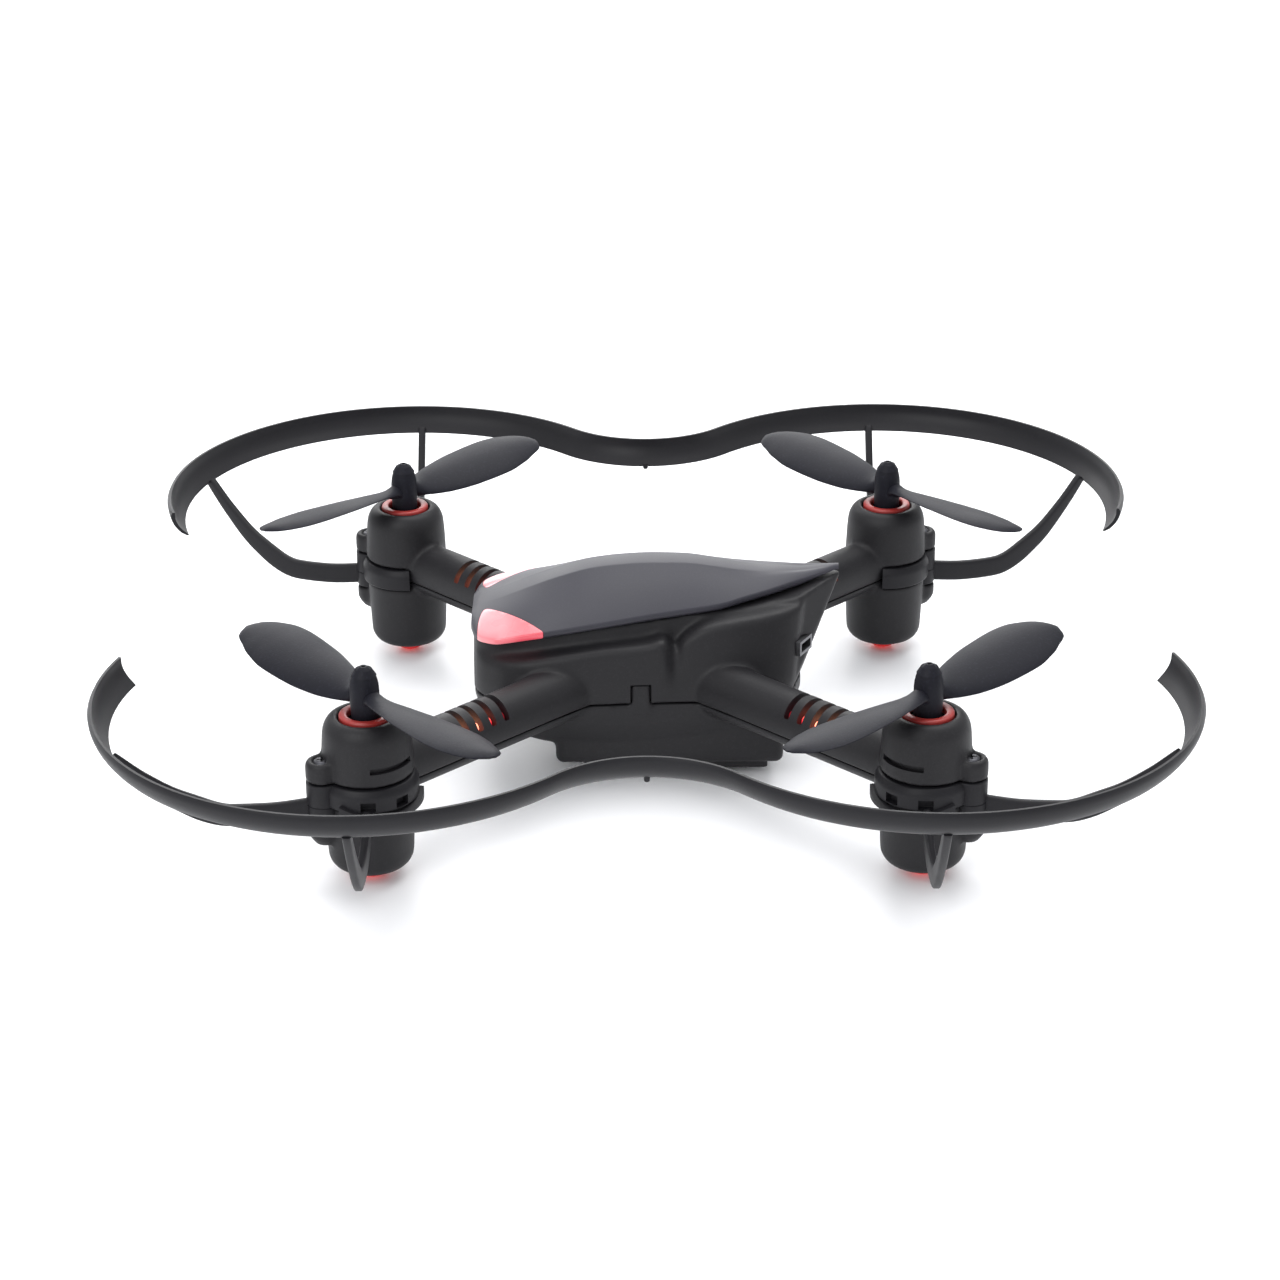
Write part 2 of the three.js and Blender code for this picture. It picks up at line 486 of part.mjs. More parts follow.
function bandPlan() {
  const dipY = HALF_PITCH + Math.sqrt((GUARD_RADIUS + DIP_RADIUS) ** 2 - HALF_PITCH ** 2);
  const turnover = Math.atan2(dipY - HALF_PITCH, HALF_PITCH);
  const lobe = Array.from({ length: LOBE_STEPS + 1 }, (_, i) => {
    const turn = THREE.MathUtils.lerp(-GUARD_END_TURN, Math.PI - turnover, i / LOBE_STEPS);
    const out = v2(Math.cos(turn), Math.sin(turn));
    return { at: v2(HALF_PITCH + GUARD_RADIUS * out.x, HALF_PITCH + GUARD_RADIUS * out.y), out };
  });
  const dip = Array.from({ length: DIP_STEPS - 1 }, (_, i) => {
    const turn = THREE.MathUtils.lerp(-turnover, turnover - Math.PI, (i + 1) / DIP_STEPS);
    const out = v2(-Math.cos(turn), -Math.sin(turn));
    return { at: v2(-DIP_RADIUS * out.x, dipY - DIP_RADIUS * out.y), out };
  });
  const mirror = ({ at, out }) => ({ at: v2(-at.x, at.y), out: v2(-out.x, out.y) });
  return [...lobe, ...dip, ...lobe.map(mirror).toReversed()];
}

function band() {
  const rise = BAND_TOP_Z - BAND_BOTTOM_Z;
  const face = [0, 0.5, 1].map((t) =>
    [-BAND_LEAN * (1 - t) + BAND_BULGE * 4 * t * (1 - t), BAND_BOTTOM_Z + rise * t]);
  const section = [...face, ...face.toReversed().map(([out, z]) => [out - BAND_THICKNESS, z])];
  return loft(bandPlan().map(({ at, out }) =>
    section.map(([offset, z]) => v3(at.x + out.x * offset, at.y + out.y * offset, z))));
}

function guard(sy) {
  const parts = Object.values(ENDS).flatMap((sx) => [
    solid(atCorner(collar(), { sx, sy })),
    solid(atCorner(atMotor(strut(SIDE_STRUT, true)), { sx, sy })),
    solid(atCorner(atMotor(strut(END_STRUT, false)), { sx, sy })),
  ]);
  const screwHoles = Object.values(ENDS).map((sx) => solid(atCorner(atBoss(screwBore), { sx, sy })));
  return cut(join(solid(atCorner(band(), { sx: 1, sy })), ...parts), ...screwHoles);
}

// ---------------------------------------------------------------- propellers and motors
// Stations along a blade: radius, chord, pitch in degrees and sweep of the middle line.
const BLADE_STATIONS = [
  [1.2, 3.6, 22, 0], [5, 6.8, 20, -0.1], [10, 9.8, 18, -0.2], [17, 12.2, 15, -0.1], [25, 13.1, 12.5, 0.15],
  [30, 11.9, 11, 0.5], [34, 8.9, 10, 0.5], [36.6, 5.2, 9, 0.1], [BLADE_RADIUS, 1.8, 9, 0],
];

function bladeRing([radius, chord, pitch, sweep], hand) {
  const slope = THREE.MathUtils.degToRad(pitch);
  const rootZ = BLADE_Z - BLADE_CAMBER + BLADE_RISE * radius / BLADE_RADIUS;
  const side = (surface) => [-0.5, -0.2, 0.2, 0.5].map((t) => {
    const along = t * chord + sweep;
    const arch = BLADE_CAMBER * (chord / 15) * (1 - 4 * t * t);
    const edge = Math.abs(t) === 0.5 ? 0.5 : 1;
    const lift = arch + surface * (BLADE_THICKNESS / 2) * edge;
    return v3(radius, hand * (along * Math.cos(slope) - lift * Math.sin(slope)),
      rootZ + along * Math.sin(slope) + lift * Math.cos(slope));
  });
  return [...side(1), ...side(-1).toReversed()];
}

function propeller(hand) {
  const blade = loft(BLADE_STATIONS.map((station) => bladeRing(station, hand)));
  const hub = turned([[0, HUB_BOTTOM_Z], [HUB_RADIUS, HUB_BOTTOM_Z], [HUB_RADIUS, HUB_TOP_Z - 2.2],
    [HUB_RADIUS * 0.82, HUB_TOP_Z - 0.8], [HUB_RADIUS * 0.45, HUB_TOP_Z], [0, HUB_TOP_Z]], COARSE);
  const bore = rod(SHAFT_HOLE, HUB_BOTTOM_Z - 1, HUB_TOP_Z + 1);
  const whole = join(solid(hub), solid(blade), solid(blade.clone().rotateZ(Math.PI)));
  return cut(whole, solid(bore));
}

const motorCan = cut(solid(rod(MOTOR_RADIUS, MOTOR_BOTTOM_Z, MOTOR_TOP_Z, SMOOTH)),
  solid(rod(SHAFT_HOLE, SHAFT_BOTTOM_Z - GAP, MOTOR_TOP_Z + 1)));
const motorShaft = rod(SHAFT_RADIUS, SHAFT_BOTTOM_Z, HUB_TOP_Z - 1.2);
const trimRing = turned([[RING_HOLE_RADIUS, RING_FLOOR_Z + GAP], [RING_RADIUS, RING_FLOOR_Z + GAP],
  [RING_RADIUS, POD_TOP_Z + RING_PROUD - 0.4], [RING_RADIUS - 0.4, POD_TOP_Z + RING_PROUD],
  [RING_HOLE_RADIUS + 0.4, POD_TOP_Z + RING_PROUD], [RING_HOLE_RADIUS, POD_TOP_Z + RING_PROUD - 0.4],
  [RING_HOLE_RADIUS, RING_FLOOR_Z + GAP]]);
const FOOT_TOP_Z = CAN_BOTTOM_Z - GAP;
const foot = turned([[0, 0], [FOOT_FLAT_RADIUS, 0], [FOOT_RADIUS * 0.78, 0.9], [FOOT_RADIUS, FOOT_TOP_Z],
  [FOOT_STEM_RADIUS, FOOT_TOP_Z], [FOOT_STEM_RADIUS, FOOT_STEM_TOP_Z], [0, FOOT_STEM_TOP_Z]]);

// ---------------------------------------------------------------- inside pieces and fasteners
const LIGHT_Z = ARM_Z - 1.3;
const LIGHT_MIDDLE = VENT_FIRST + (VENT_COUNT - 1) * VENT_SPACING / 2;

function armLight() {
  const half = LIGHT_BOARD.length / 2;
  const boardTop = LIGHT_Z + LIGHT_BOARD.thickness;
  const strip = block([LIGHT_MIDDLE - half, LIGHT_MIDDLE + half],
    [-LIGHT_BOARD.width / 2, LIGHT_BOARD.width / 2], [LIGHT_Z, boardTop]);
  const leds = [-VENT_SPACING, VENT_SPACING].map((offset) => solid(block(
    [LIGHT_MIDDLE + offset - LED.size / 2, LIGHT_MIDDLE + offset + LED.size / 2],
    [-LED.size / 2, LED.size / 2], [boardTop - 0.2, boardTop + LED.height])));
  return geometryOf(join(solid(strip), ...leds)).rotateZ(Math.PI / 4);
}

function guardScrew() {
  const seat = SCREW_SEAT_Z + GAP;
  const shank = solid(rod(SCREW.shank, SCREW.tip, seat + 0.2));
  return geometryOf(join(shank, solid(rod(SCREW.head, seat, seat + SCREW.headHeight))));
}

function hullScrew() {
  const headTop = HULL_SCREW.headZ + HULL_SCREW.headHeight;
  return join(solid(rod(HULL_SCREW.shank, headTop - 0.2, HULL_SCREW.tip)),
    solid(rod(HULL_SCREW.head, HULL_SCREW.headZ, headTop)));
}

function mainBoard() {
  const board = block([-BOARD.length / 2, BOARD.length / 2], [-BOARD.width / 2, BOARD.width / 2],
    [BOARD.z, BOARD.z + BOARD.thickness]);
  const radio = block([2, 12], [-5, 5], [BOARD.z + BOARD.thickness - 0.2, BOARD.z + BOARD.thickness + 1.4]);
  const chip = block([-11, -4], [-3.5, 3.5], [BOARD.z + BOARD.thickness - 0.2, BOARD.z + BOARD.thickness + 1]);
  return join(solid(board), solid(radio), solid(chip));
}

function battery() {
  const low = BAY.top - GAP - BATTERY.height;
  return roundedBlock([BATTERY_X - BATTERY.length / 2, BATTERY_X + BATTERY.length / 2],
    [-BATTERY.width / 2, BATTERY.width / 2], [low, low + BATTERY.height], 1);
}

function chargeSocket() {
  const mouth = block([0, SOCKET.depth], [-SOCKET.width / 2 + 0.6, SOCKET.width / 2 - 0.6],
    [-SOCKET.height / 2 + 0.6, SOCKET.height / 2 - 0.6]);
  const placed = mouth.rotateZ(-SOCKET.turn).translate(SOCKET.x, SOCKET.y, SOCKET.z);
  return cut(solid(socketBlock(0)), solid(placed));
}

// ---------------------------------------------------------------- the scene graph
function geometryOf(made) {
  const mesh = made.getMesh();
  const geometry = new THREE.BufferGeometry();
  geometry.setAttribute('position', new THREE.BufferAttribute(new Float32Array(mesh.vertProperties), 3));
  geometry.setIndex(new THREE.BufferAttribute(new Uint32Array(mesh.triVerts), 1));
  return geometry;
}

const finish = (color, roughness, metalness = 0) => new THREE.MeshStandardMaterial({ color, roughness, metalness });
const MATERIALS = {
  hull: finish(0x3a393c, 0.55),
  canopy: finish(0x5c5b64, 0.5),
  guard: finish(0x424145, 0.5),
  blade: finish(0x55555d, 0.6),
  eye: finish(0xff6a80, 0.25),
  ring: finish(0xc83c37, 0.45),
  foot: finish(0xd8202a, 0.3),
  steel: finish(0xb0b2b6, 0.3, 1),
  motor: finish(0xa8aaae, 0.35, 1),
  board: finish(0x1f5a35, 0.5),
  battery: finish(0x2c5fa8, 0.5),
  black: finish(0x202022, 0.6),
};

const quadcopter = new THREE.Group();

function add(name, shape, material, place = null) {
  const geometry = shape.isBufferGeometry ? shape : geometryOf(shape);
  const mesh = new THREE.Mesh(geometry, MATERIALS[material]);
  mesh.name = name;
  if (place) mesh.position.copy(place);
  quadcopter.add(mesh);
}

add('upper_hull', upperHull(), 'hull');
add('lower_hull', lowerHull(), 'hull');
add('canopy', canopy, 'canopy');
add('main_board', mainBoard(), 'board');
add('battery', battery(), 'battery');
add('battery_door', batteryDoor(), 'hull');
add('door_hinge_pin', alongY(HINGE_PIN_RADIUS, DOOR.halfWidth + HINGE_PIN_BITE), 'steel');
add('power_button', powerButton(), 'black', v3(BUTTON.x, 0, 0));
add('charge_socket', chargeSocket(), 'steel');
add('hull_screw', hullScrew(), 'steel', v3(HULL_SCREW.x, 0, 0));

for (const [side, sy] of Object.entries(SIDES)) {
  add(`eye_window_${side}`, eyeWindow(sy), 'eye');
  add(`guard_${side}`, guard(sy), 'guard');
}

// Rest angle of each propeller, and the way that it turns: 1 is anticlockwise from above.
const REST_TURN = { front_left: 131, front_right: 43.8, rear_left: 45, rear_right: 131 };

for (const corner of CORNERS) {
  const { name, sx, sy } = corner;
  const axis = v3(sx * HALF_PITCH, sy * HALF_PITCH, 0);
  const hand = -sx * sy;
  const blades = geometryOf(propeller(hand)).rotateZ(THREE.MathUtils.degToRad(REST_TURN[name]));
  add(`propeller_${name}`, blades, 'blade', axis);
  add(`motor_shaft_${name}`, motorShaft.clone(), 'steel', axis);
  add(`motor_${name}`, motorCan, 'motor', axis);
  add(`trim_ring_${name}`, trimRing.clone(), 'ring', axis);
  add(`foot_${name}`, foot.clone(), 'foot', axis);
  add(`arm_light_${name}`, solid(atCorner(armLight(), corner)), 'board');
  add(`guard_screw_${name}`, solid(atCorner(atBoss(guardScrew()), corner)), 'steel');
}

export default quadcopter;
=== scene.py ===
# %% [markdown]
# # A palm-size quadcopter with propeller guards
#
# The mechanical model is already made: 42 solids on seven bodies. This lesson keeps that model as
# its frame and builds the finished surface of each visible part round it, one part at a time: the
# guards, the propellers, the hull with its arms and pods, the canopy and its lit windows, and the
# small trim. Every shape is drawn in millimetres and turned into metres at the end.

import math

import bmesh
import bpy
from mathutils import Matrix, Vector


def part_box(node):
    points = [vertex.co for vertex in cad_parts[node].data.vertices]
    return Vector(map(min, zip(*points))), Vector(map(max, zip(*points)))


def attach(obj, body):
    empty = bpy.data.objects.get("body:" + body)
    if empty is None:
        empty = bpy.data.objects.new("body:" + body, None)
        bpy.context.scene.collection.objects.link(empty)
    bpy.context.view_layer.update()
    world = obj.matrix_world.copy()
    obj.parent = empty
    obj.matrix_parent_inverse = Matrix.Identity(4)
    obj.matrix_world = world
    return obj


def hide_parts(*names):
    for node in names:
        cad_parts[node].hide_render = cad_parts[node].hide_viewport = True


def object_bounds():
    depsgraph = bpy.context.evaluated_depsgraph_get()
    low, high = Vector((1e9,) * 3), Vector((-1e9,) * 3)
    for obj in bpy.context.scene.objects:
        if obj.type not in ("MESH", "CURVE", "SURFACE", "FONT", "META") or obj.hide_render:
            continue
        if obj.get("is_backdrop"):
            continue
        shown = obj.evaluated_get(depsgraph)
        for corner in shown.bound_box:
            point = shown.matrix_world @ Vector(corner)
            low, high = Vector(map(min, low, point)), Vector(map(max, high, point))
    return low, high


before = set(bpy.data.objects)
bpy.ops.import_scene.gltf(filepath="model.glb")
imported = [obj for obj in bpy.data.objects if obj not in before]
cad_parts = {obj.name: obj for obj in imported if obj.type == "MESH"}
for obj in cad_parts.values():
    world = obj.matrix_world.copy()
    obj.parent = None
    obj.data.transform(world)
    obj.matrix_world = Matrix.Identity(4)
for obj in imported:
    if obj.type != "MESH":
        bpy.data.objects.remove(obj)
cad_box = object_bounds()

# %% [markdown]
# ## Sizes that come from the frame
#
# A finished piece has to sit exactly where the mechanical part is, so the main sizes are read from
# the frame and never typed in. Half the motor pitch, for example, is how far the middle of any motor
# lies from the middle of the aircraft. A corner is described by two signs: the shape is drawn once,
# for the corner at +X and +Y, and the signs mirror it to the others.

# %% Read the main sizes
MM = 0.001


def node_box(node):
    """Lowest and highest corner of a node, in millimetres."""
    low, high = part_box(node)
    return low / MM, high / MM


def middle_of(node):
    low, high = node_box(node)
    return (low + high) / 2


HALF_PITCH = middle_of("motor_rear_right").x
GUARD_HIGH = node_box("guard_right")[1]
GUARD_RADIUS = GUARD_HIGH.x - HALF_PITCH
HUB_HIGH_Z = node_box("propeller_rear_right")[1].z
BLADE_REACH = 37.6
SEAM_GAP = 0.3
SEAM_LOW_Z = 18.35
SEAM_HIGH_Z = SEAM_LOW_Z + SEAM_GAP
CORNERS = {
    "front_left": (-1, -1),
    "front_right": (-1, 1),
    "rear_left": (1, -1),
    "rear_right": (1, 1),
}
print(f"half the motor pitch is {HALF_PITCH:.1f} mm, the guard's radius is {GUARD_RADIUS:.1f} mm")

# %% [markdown]
# ## Camera, light and floor
#
# The aircraft stands on a white glossy table in a bright studio. A long lens from a little over
# half a metre away, looking down about 24 degrees, keeps the perspective gentle. The light is a
# white dome with one wide softbox above and one behind, so that every edge of the dark plastic
# catches a thin highlight while the shadows stay pale.

# %% Set up the camera
CAMERA_AIM = Vector((0, 0, 0.0245))
CAMERA_DISTANCE = 0.611
CAMERA_PITCH = math.radians(24.22)
CAMERA_ROLL = math.radians(0.26)

forward = Vector((0, math.cos(CAMERA_PITCH), -math.sin(CAMERA_PITCH)))
upward = Vector((0, math.sin(CAMERA_PITCH), math.cos(CAMERA_PITCH)))
rightward = Vector((1, 0, 0))
cosine, sine = math.cos(CAMERA_ROLL), math.sin(CAMERA_ROLL)
camera_axes = Matrix((cosine * rightward - sine * upward, sine * rightward + cosine * upward, -forward))
camera_data = bpy.data.cameras.new("camera")
camera_data.lens = 86.07
camera_data.shift_x = -0.0049
camera = bpy.data.objects.new("camera", camera_data)
camera_place = Matrix.Translation(CAMERA_AIM - CAMERA_DISTANCE * forward)
camera.matrix_world = camera_place @ camera_axes.transposed().to_4x4()
bpy.context.scene.collection.objects.link(camera)
bpy.context.scene.camera = camera
print("the camera stands at", tuple(round(value, 3) for value in camera.location))

# %% Light the studio
world = bpy.data.worlds.new("studio")
bpy.context.scene.world = world
world.use_nodes = True
world.node_tree.nodes["Background"].inputs["Color"].default_value = (0.97, 0.98, 1.0, 1)
world.node_tree.nodes["Background"].inputs["Strength"].default_value = 0.85
bpy.context.scene.view_settings.view_transform = "Standard"


def softbox(name, place, size, power):
    """A wide soft lamp that looks at the aircraft."""
    lamp = bpy.data.lights.new(name, "AREA")
    lamp.shape = "RECTANGLE"
    lamp.size, lamp.size_y = size
    lamp.energy = power
    lit = bpy.data.objects.new(name, lamp)
    lit.location = place
    lit.rotation_mode = "QUATERNION"
    lit.rotation_quaternion = (Vector(place) - CAMERA_AIM).to_track_quat("Z", "Y")
    bpy.context.scene.collection.objects.link(lit)
    return lit


softbox("top_light", (0.1, 0.25, 0.9), (0.9, 0.7), 7.5)
softbox("back_light", (-0.2, 1.1, 0.45), (1.2, 0.5), 7.5)
softbox("front_fill", (-0.5, -0.8, 0.7), (0.6, 0.6), 5)

# %% [markdown]
# ## Shader maths as plain expressions
#
# A procedural finish is a small sum of noises. Wiring Math nodes by hand hides that sum, so a
# `Field` wraps one socket and lets Python's own operators add the nodes. A `Finish` is one material
# under construction: `node` makes any other node from its type, its settings and its sockets.

# %% Field and Finish


class Field:
    """A number that varies over a surface, with Python's arithmetic."""

    def __init__(self, finish, socket):
        self.finish = finish
        self.socket = socket

    def maths(self, operation, first, second=0.0, clamp=False):
        settings = {"operation": operation, "use_clamp": clamp}
        made = self.finish.node("ShaderNodeMath", settings, {0: first, 1: second})
        return Field(self.finish, made.outputs[0])

    def __add__(self, other):
        return self.maths("ADD", self, other)

    def __sub__(self, other):
        return self.maths("SUBTRACT", self, other)

    def __rsub__(self, other):
        return self.maths("SUBTRACT", other, self)

    def __mul__(self, other):
        return self.maths("MULTIPLY", self, other)

    def __pow__(self, other):
        return self.maths("POWER", self, other)

    def clamped(self):
        return self.maths("ADD", self, 0.0, clamp=True)

    __radd__ = __add__
    __rmul__ = __mul__


class Finish:
    """One material under construction round its Principled shader."""

    def __init__(self, name, **constants):
        self.material = bpy.data.materials.new(name)
        self.material.use_nodes = True
        self.tree = self.material.node_tree
        self.shader = self.tree.nodes["Principled BSDF"]
        self.place = self.node("ShaderNodeTexCoord").outputs["Object"]
        for socket, value in constants.items():
            self.shader.inputs[socket.replace("_", " ")].default_value = value

    def node(self, kind, settings=None, sockets=None):
        made = self.tree.nodes.new(kind)
        for field, value in (settings or {}).items():
            setattr(made, field, value)
        for socket, value in (sockets or {}).items():
            self.feed(made.inputs[socket], value)
        return made

    def feed(self, socket, value):
        if isinstance(value, Field):
            value = value.socket
        if isinstance(value, bpy.types.NodeSocket):
            self.tree.links.new(value, socket)
        else:
            socket.default_value = value

    def noise(self, size_mm, detail=2.0, stretch=(1, 1, 1)):
        """Noise whose features are about size_mm across."""
        place = self.node("ShaderNodeMapping", None, {"Vector": self.place, "Scale": stretch})
        sockets = {"Vector": place.outputs[0], "Scale": 1 / (size_mm * MM), "Detail": detail}
        return Field(self, self.node("ShaderNodeTexNoise", None, sockets).outputs[0])

    def mixed(self, share, first, second):
        sockets = {0: share, 6: (*first, 1), 7: (*second, 1)}
        return self.node("ShaderNodeMix", {"data_type": "RGBA"}, sockets).outputs[2]

    def bump(self, height, depth_mm):
        sockets = {"Height": height, "Distance": depth_mm * MM, "Strength": 1.0}
        self.feed(self.shader.inputs["Normal"], self.node("ShaderNodeBump", None, sockets).outputs[0])

    def set(self, socket, value):
        self.feed(self.shader.inputs[socket], value)


# %% [markdown]
# ## Moulded plastic
#
# The whole aircraft is injection-moulded, and the mould's spark-eroded skin leaves a fine matte
# grain. It could be a flat dark grey, but a real moulding has three scales: grain of a few tenths
# of a millimetre that breaks up the highlight, a slow drift in gloss where the plastic flowed, and
# a faint scatter of paler specks. One function makes all the plastics from those three.

# %% Make the plastics


def shaded(colour, share):
    return tuple(channel * share for channel in colour)


def moulded(name, colour, roughness, grain_mm, grain_depth_mm, specks=0.25, specular=0.5):
    finish = Finish(name, Specular_IOR_Level=specular)
    grain = finish.noise(grain_mm, detail=3)
    drift = finish.noise(14, detail=1)
    dust = ((finish.noise(grain_mm * 1.7, detail=0) - 0.62) * 8).clamped()
    tone = (drift * 0.5 + grain * 0.5 + dust * specks).clamped()
    finish.set("Base Color", finish.mixed(tone, shaded(colour, 0.72), shaded(colour, 1.4)))
    finish.set("Roughness", (drift * 0.16 + grain * 0.14 + (roughness - 0.15)).clamped())
    finish.bump(grain + drift * 3.0, grain_depth_mm)
    return finish.material


PLASTICS = {
    "hull": moulded("hull plastic", (0.0122, 0.0118, 0.0134), 0.5, 0.28, 0.016, specular=0.26),
    "canopy": moulded(
        "canopy plastic", (0.031, 0.0305, 0.0395), 0.46, 0.22, 0.010, specks=0.12, specular=0.3,
    ),
    "guard": moulded(
        "guard plastic", (0.0105, 0.0102, 0.0122), 0.46, 0.25, 0.010, specks=0.15, specular=0.22,
    ),
    "blade": moulded("blade plastic", (0.0078, 0.0080, 0.0125), 0.56, 0.30, 0.022, specks=0.6, specular=0.17),
    "button": moulded("button rubber", (0.008, 0.008, 0.009), 0.8, 0.4, 0.02, specular=0.3),
}
print("plastics:", ", ".join(PLASTICS))

# %% [markdown]
# ## Lit and translucent plastic
#
# The eye windows, the feet and the trim rings are red. The windows and the feet have a lamp behind
# them, so they glow: their emission is uneven, hotter where the lamp sits. The rings only take the
# light of the room. Inside each arm, two lamps show through the vents as small bright cores in a
# dim red bar.

# %% Make the red finishes


def near(finish, point_mm, reach_mm):
    """1 at a point in the corner at +X and +Y, and at its mirror images, fading to 0 at reach."""
    place = finish.node("ShaderNodeVectorMath", {"operation": "ABSOLUTE"}, {0: finish.place})
    target = tuple(value * MM for value in point_mm)
    gap = finish.node("ShaderNodeVectorMath", {"operation": "DISTANCE"}, {0: place.outputs[0], 1: target})
    distance = Field(finish, gap.outputs["Value"])
    return (1 - distance * (1 / (reach_mm * MM))).clamped()


def eye_lens():
    finish = Finish("eye lens", Emission_Strength=1.0, Coat_Weight=0.4, Coat_Roughness=0.15)
    core = near(finish, (29.6, 11.5, 33.2), 7.5)
    cloud = finish.noise(4, detail=1) * 0.15
    share = (core * 1.3 + cloud).clamped()
    finish.set("Base Color", finish.mixed(cloud, (0.20, 0.02, 0.03), (0.30, 0.04, 0.05)))
    finish.set("Emission Color", finish.mixed(share, (0.62, 0.055, 0.085), (0.88, 0.40, 0.43)))
    finish.set("Roughness", cloud + 0.2)
    finish.bump(finish.noise(0.8), 0.01)
    return finish.material


def red_ring():
    finish = Finish("red ring", Subsurface_Weight=0.15, Subsurface_Scale=0.001)
    grain = finish.noise(0.3)
    finish.set("Base Color", finish.mixed(grain, (0.26, 0.018, 0.016), (0.36, 0.032, 0.027)))
    finish.set("Roughness", grain * 0.2 + 0.3)
    finish.bump(grain, 0.008)
    return finish.material


def lit_foot():
    finish = Finish("lit foot", Emission_Strength=0.9, Coat_Weight=0.4, Coat_Roughness=0.1)
    core = near(finish, (HALF_PITCH, HALF_PITCH, 1.2), 4.5)
    ripple = finish.noise(1.2)
    finish.set("Base Color", finish.mixed(ripple, (0.50, 0.012, 0.016), (0.66, 0.03, 0.03)))
    finish.set("Emission Color", finish.mixed(core * core, (0.10, 0.001, 0.002), (0.85, 0.05, 0.04)))
    finish.set("Roughness", ripple * 0.15 + 0.15)
    finish.bump(ripple, 0.02)
    return finish.material


LAMP_REACH = (48.6, 52.0)       # along the diagonal, from the middle of the aircraft
LAMP_Z = 23.2


def vent_glow():
    finish = Finish("vent glow", Emission_Strength=6.0, Specular_IOR_Level=0.2)
    diagonal = 1 / math.sqrt(2)
    lamps = [(reach * diagonal, reach * diagonal, LAMP_Z) for reach in LAMP_REACH]
    halos = [near(finish, lamp, 8.0) ** 1.6 for lamp in lamps]
    cores = [near(finish, lamp, 5.0) for lamp in lamps]
    speckle = finish.noise(1.2) * 0.06
    halo = (halos[0] + halos[1] + speckle).clamped()
    glow = finish.mixed(halo, (0.012, 0.0002, 0.0006), (0.80, 0.012, 0.035))
    lit = {0: (cores[0] + cores[1]).clamped(), 6: glow, 7: (1.0, 0.40, 0.22, 1)}
    finish.set("Emission Color", finish.node("ShaderNodeMix", {"data_type": "RGBA"}, lit).outputs[2])
    finish.set("Base Color", finish.mixed(speckle, (0.02, 0.001, 0.002), (0.06, 0.004, 0.006)))
    finish.set("Roughness", speckle + 0.35)
    return finish.material


REDS = {"eye": eye_lens(), "ring": red_ring(), "foot": lit_foot(), "glow": vent_glow()}
print("reds:", ", ".join(REDS))

# %% [markdown]
# ## Metal, circuit board and battery wrap
#
# These finishes belong to pieces that are mostly hidden: motor cans, shafts, screws, boards and the
# battery. They show when the door is open or through a gap, so they get their own grain: brushed
# lines round the metal, copper traces under the board's green mask and creases in the film wrap.

# %% Make the inner finishes


def metal(name, colour, roughness, stretch):
    finish = Finish(name, Metallic=1.0)
    lines = finish.noise(0.35, detail=3, stretch=stretch)
    stain = finish.noise(4, detail=2)
    finish.set("Base Color", finish.mixed(stain, shaded(colour, 0.8), colour))
    finish.set("Roughness", (lines * 0.25 + stain * 0.1 + (roughness - 0.15)).clamped())
    finish.bump(lines, 0.006)
    return finish.material


def circuit_board():
    finish = Finish("circuit board", Coat_Weight=0.4, Coat_Roughness=0.2)
    sockets = {"Vector": finish.place, "Scale": 700}
    cells = finish.node("ShaderNodeTexVoronoi", {"distance": "CHEBYCHEV"}, sockets)
    traces = ((Field(finish, cells.outputs["Distance"]) - 0.42) * 12).clamped()
    weave = finish.noise(0.5)
    finish.set("Base Color", finish.mixed(traces, (0.008, 0.055, 0.02), (0.02, 0.14, 0.05)))
    finish.set("Roughness", weave * 0.2 + 0.3)
    finish.bump(traces + weave * 0.3, 0.02)
    return finish.material


def battery_wrap():
    finish = Finish("battery wrap", Coat_Weight=0.6, Coat_Roughness=0.15)
    creases = finish.noise(3, detail=4, stretch=(1, 3, 1))
    finish.set("Base Color", finish.mixed(creases, (0.015, 0.08, 0.3), (0.03, 0.14, 0.45)))
    finish.set("Roughness", creases * 0.3 + 0.2)
    finish.bump(creases, 0.08)
    return finish.material


INNER = {
    "steel": metal("steel", (0.62, 0.63, 0.65), 0.32, (1, 1, 6)),
    "shell": metal("port shell", (0.20, 0.20, 0.21), 0.45, (1, 1, 1)),
    "can": metal("motor can", (0.55, 0.55, 0.57), 0.35, (1, 1, 8)),
    "screw": metal("dark screw", (0.09, 0.09, 0.10), 0.4, (1, 1, 1)),
    "board": circuit_board(),
    "wrap": battery_wrap(),
}
print("inner finishes:", ", ".join(INNER))

# %% [markdown]
# ## Tools for the shapes
#
# Nearly every piece is one of two shapes: a profile spun about an axis, or a row of sections
# bridged together. Both start from an outline, and a real moulding has no knife edges, so
# `rounded` first trims each corner of the outline by the distance given with it.

# %% Outlines, spins and lofts
ROUND_STEPS = 4


def rounded(corners):
    """Points of an outline whose corners are (a, b) or (a, b, cut): cut rounds that corner."""
    points = []
    for i, corner in enumerate(corners):
        here = Vector(corner[:2])
        if len(corner) == 2 or i in (0, len(corners) - 1):
            points.append(here)
            continue
        before, after = Vector(corners[i - 1][:2]), Vector(corners[i + 1][:2])
        start = here + (before - here).normalized() * corner[2]
        end = here + (after - here).normalized() * corner[2]
        for step in range(ROUND_STEPS + 1):
            t = step / ROUND_STEPS
            points.append((1 - t) ** 2 * start + 2 * t * (1 - t) * here + t**2 * end)
    return points


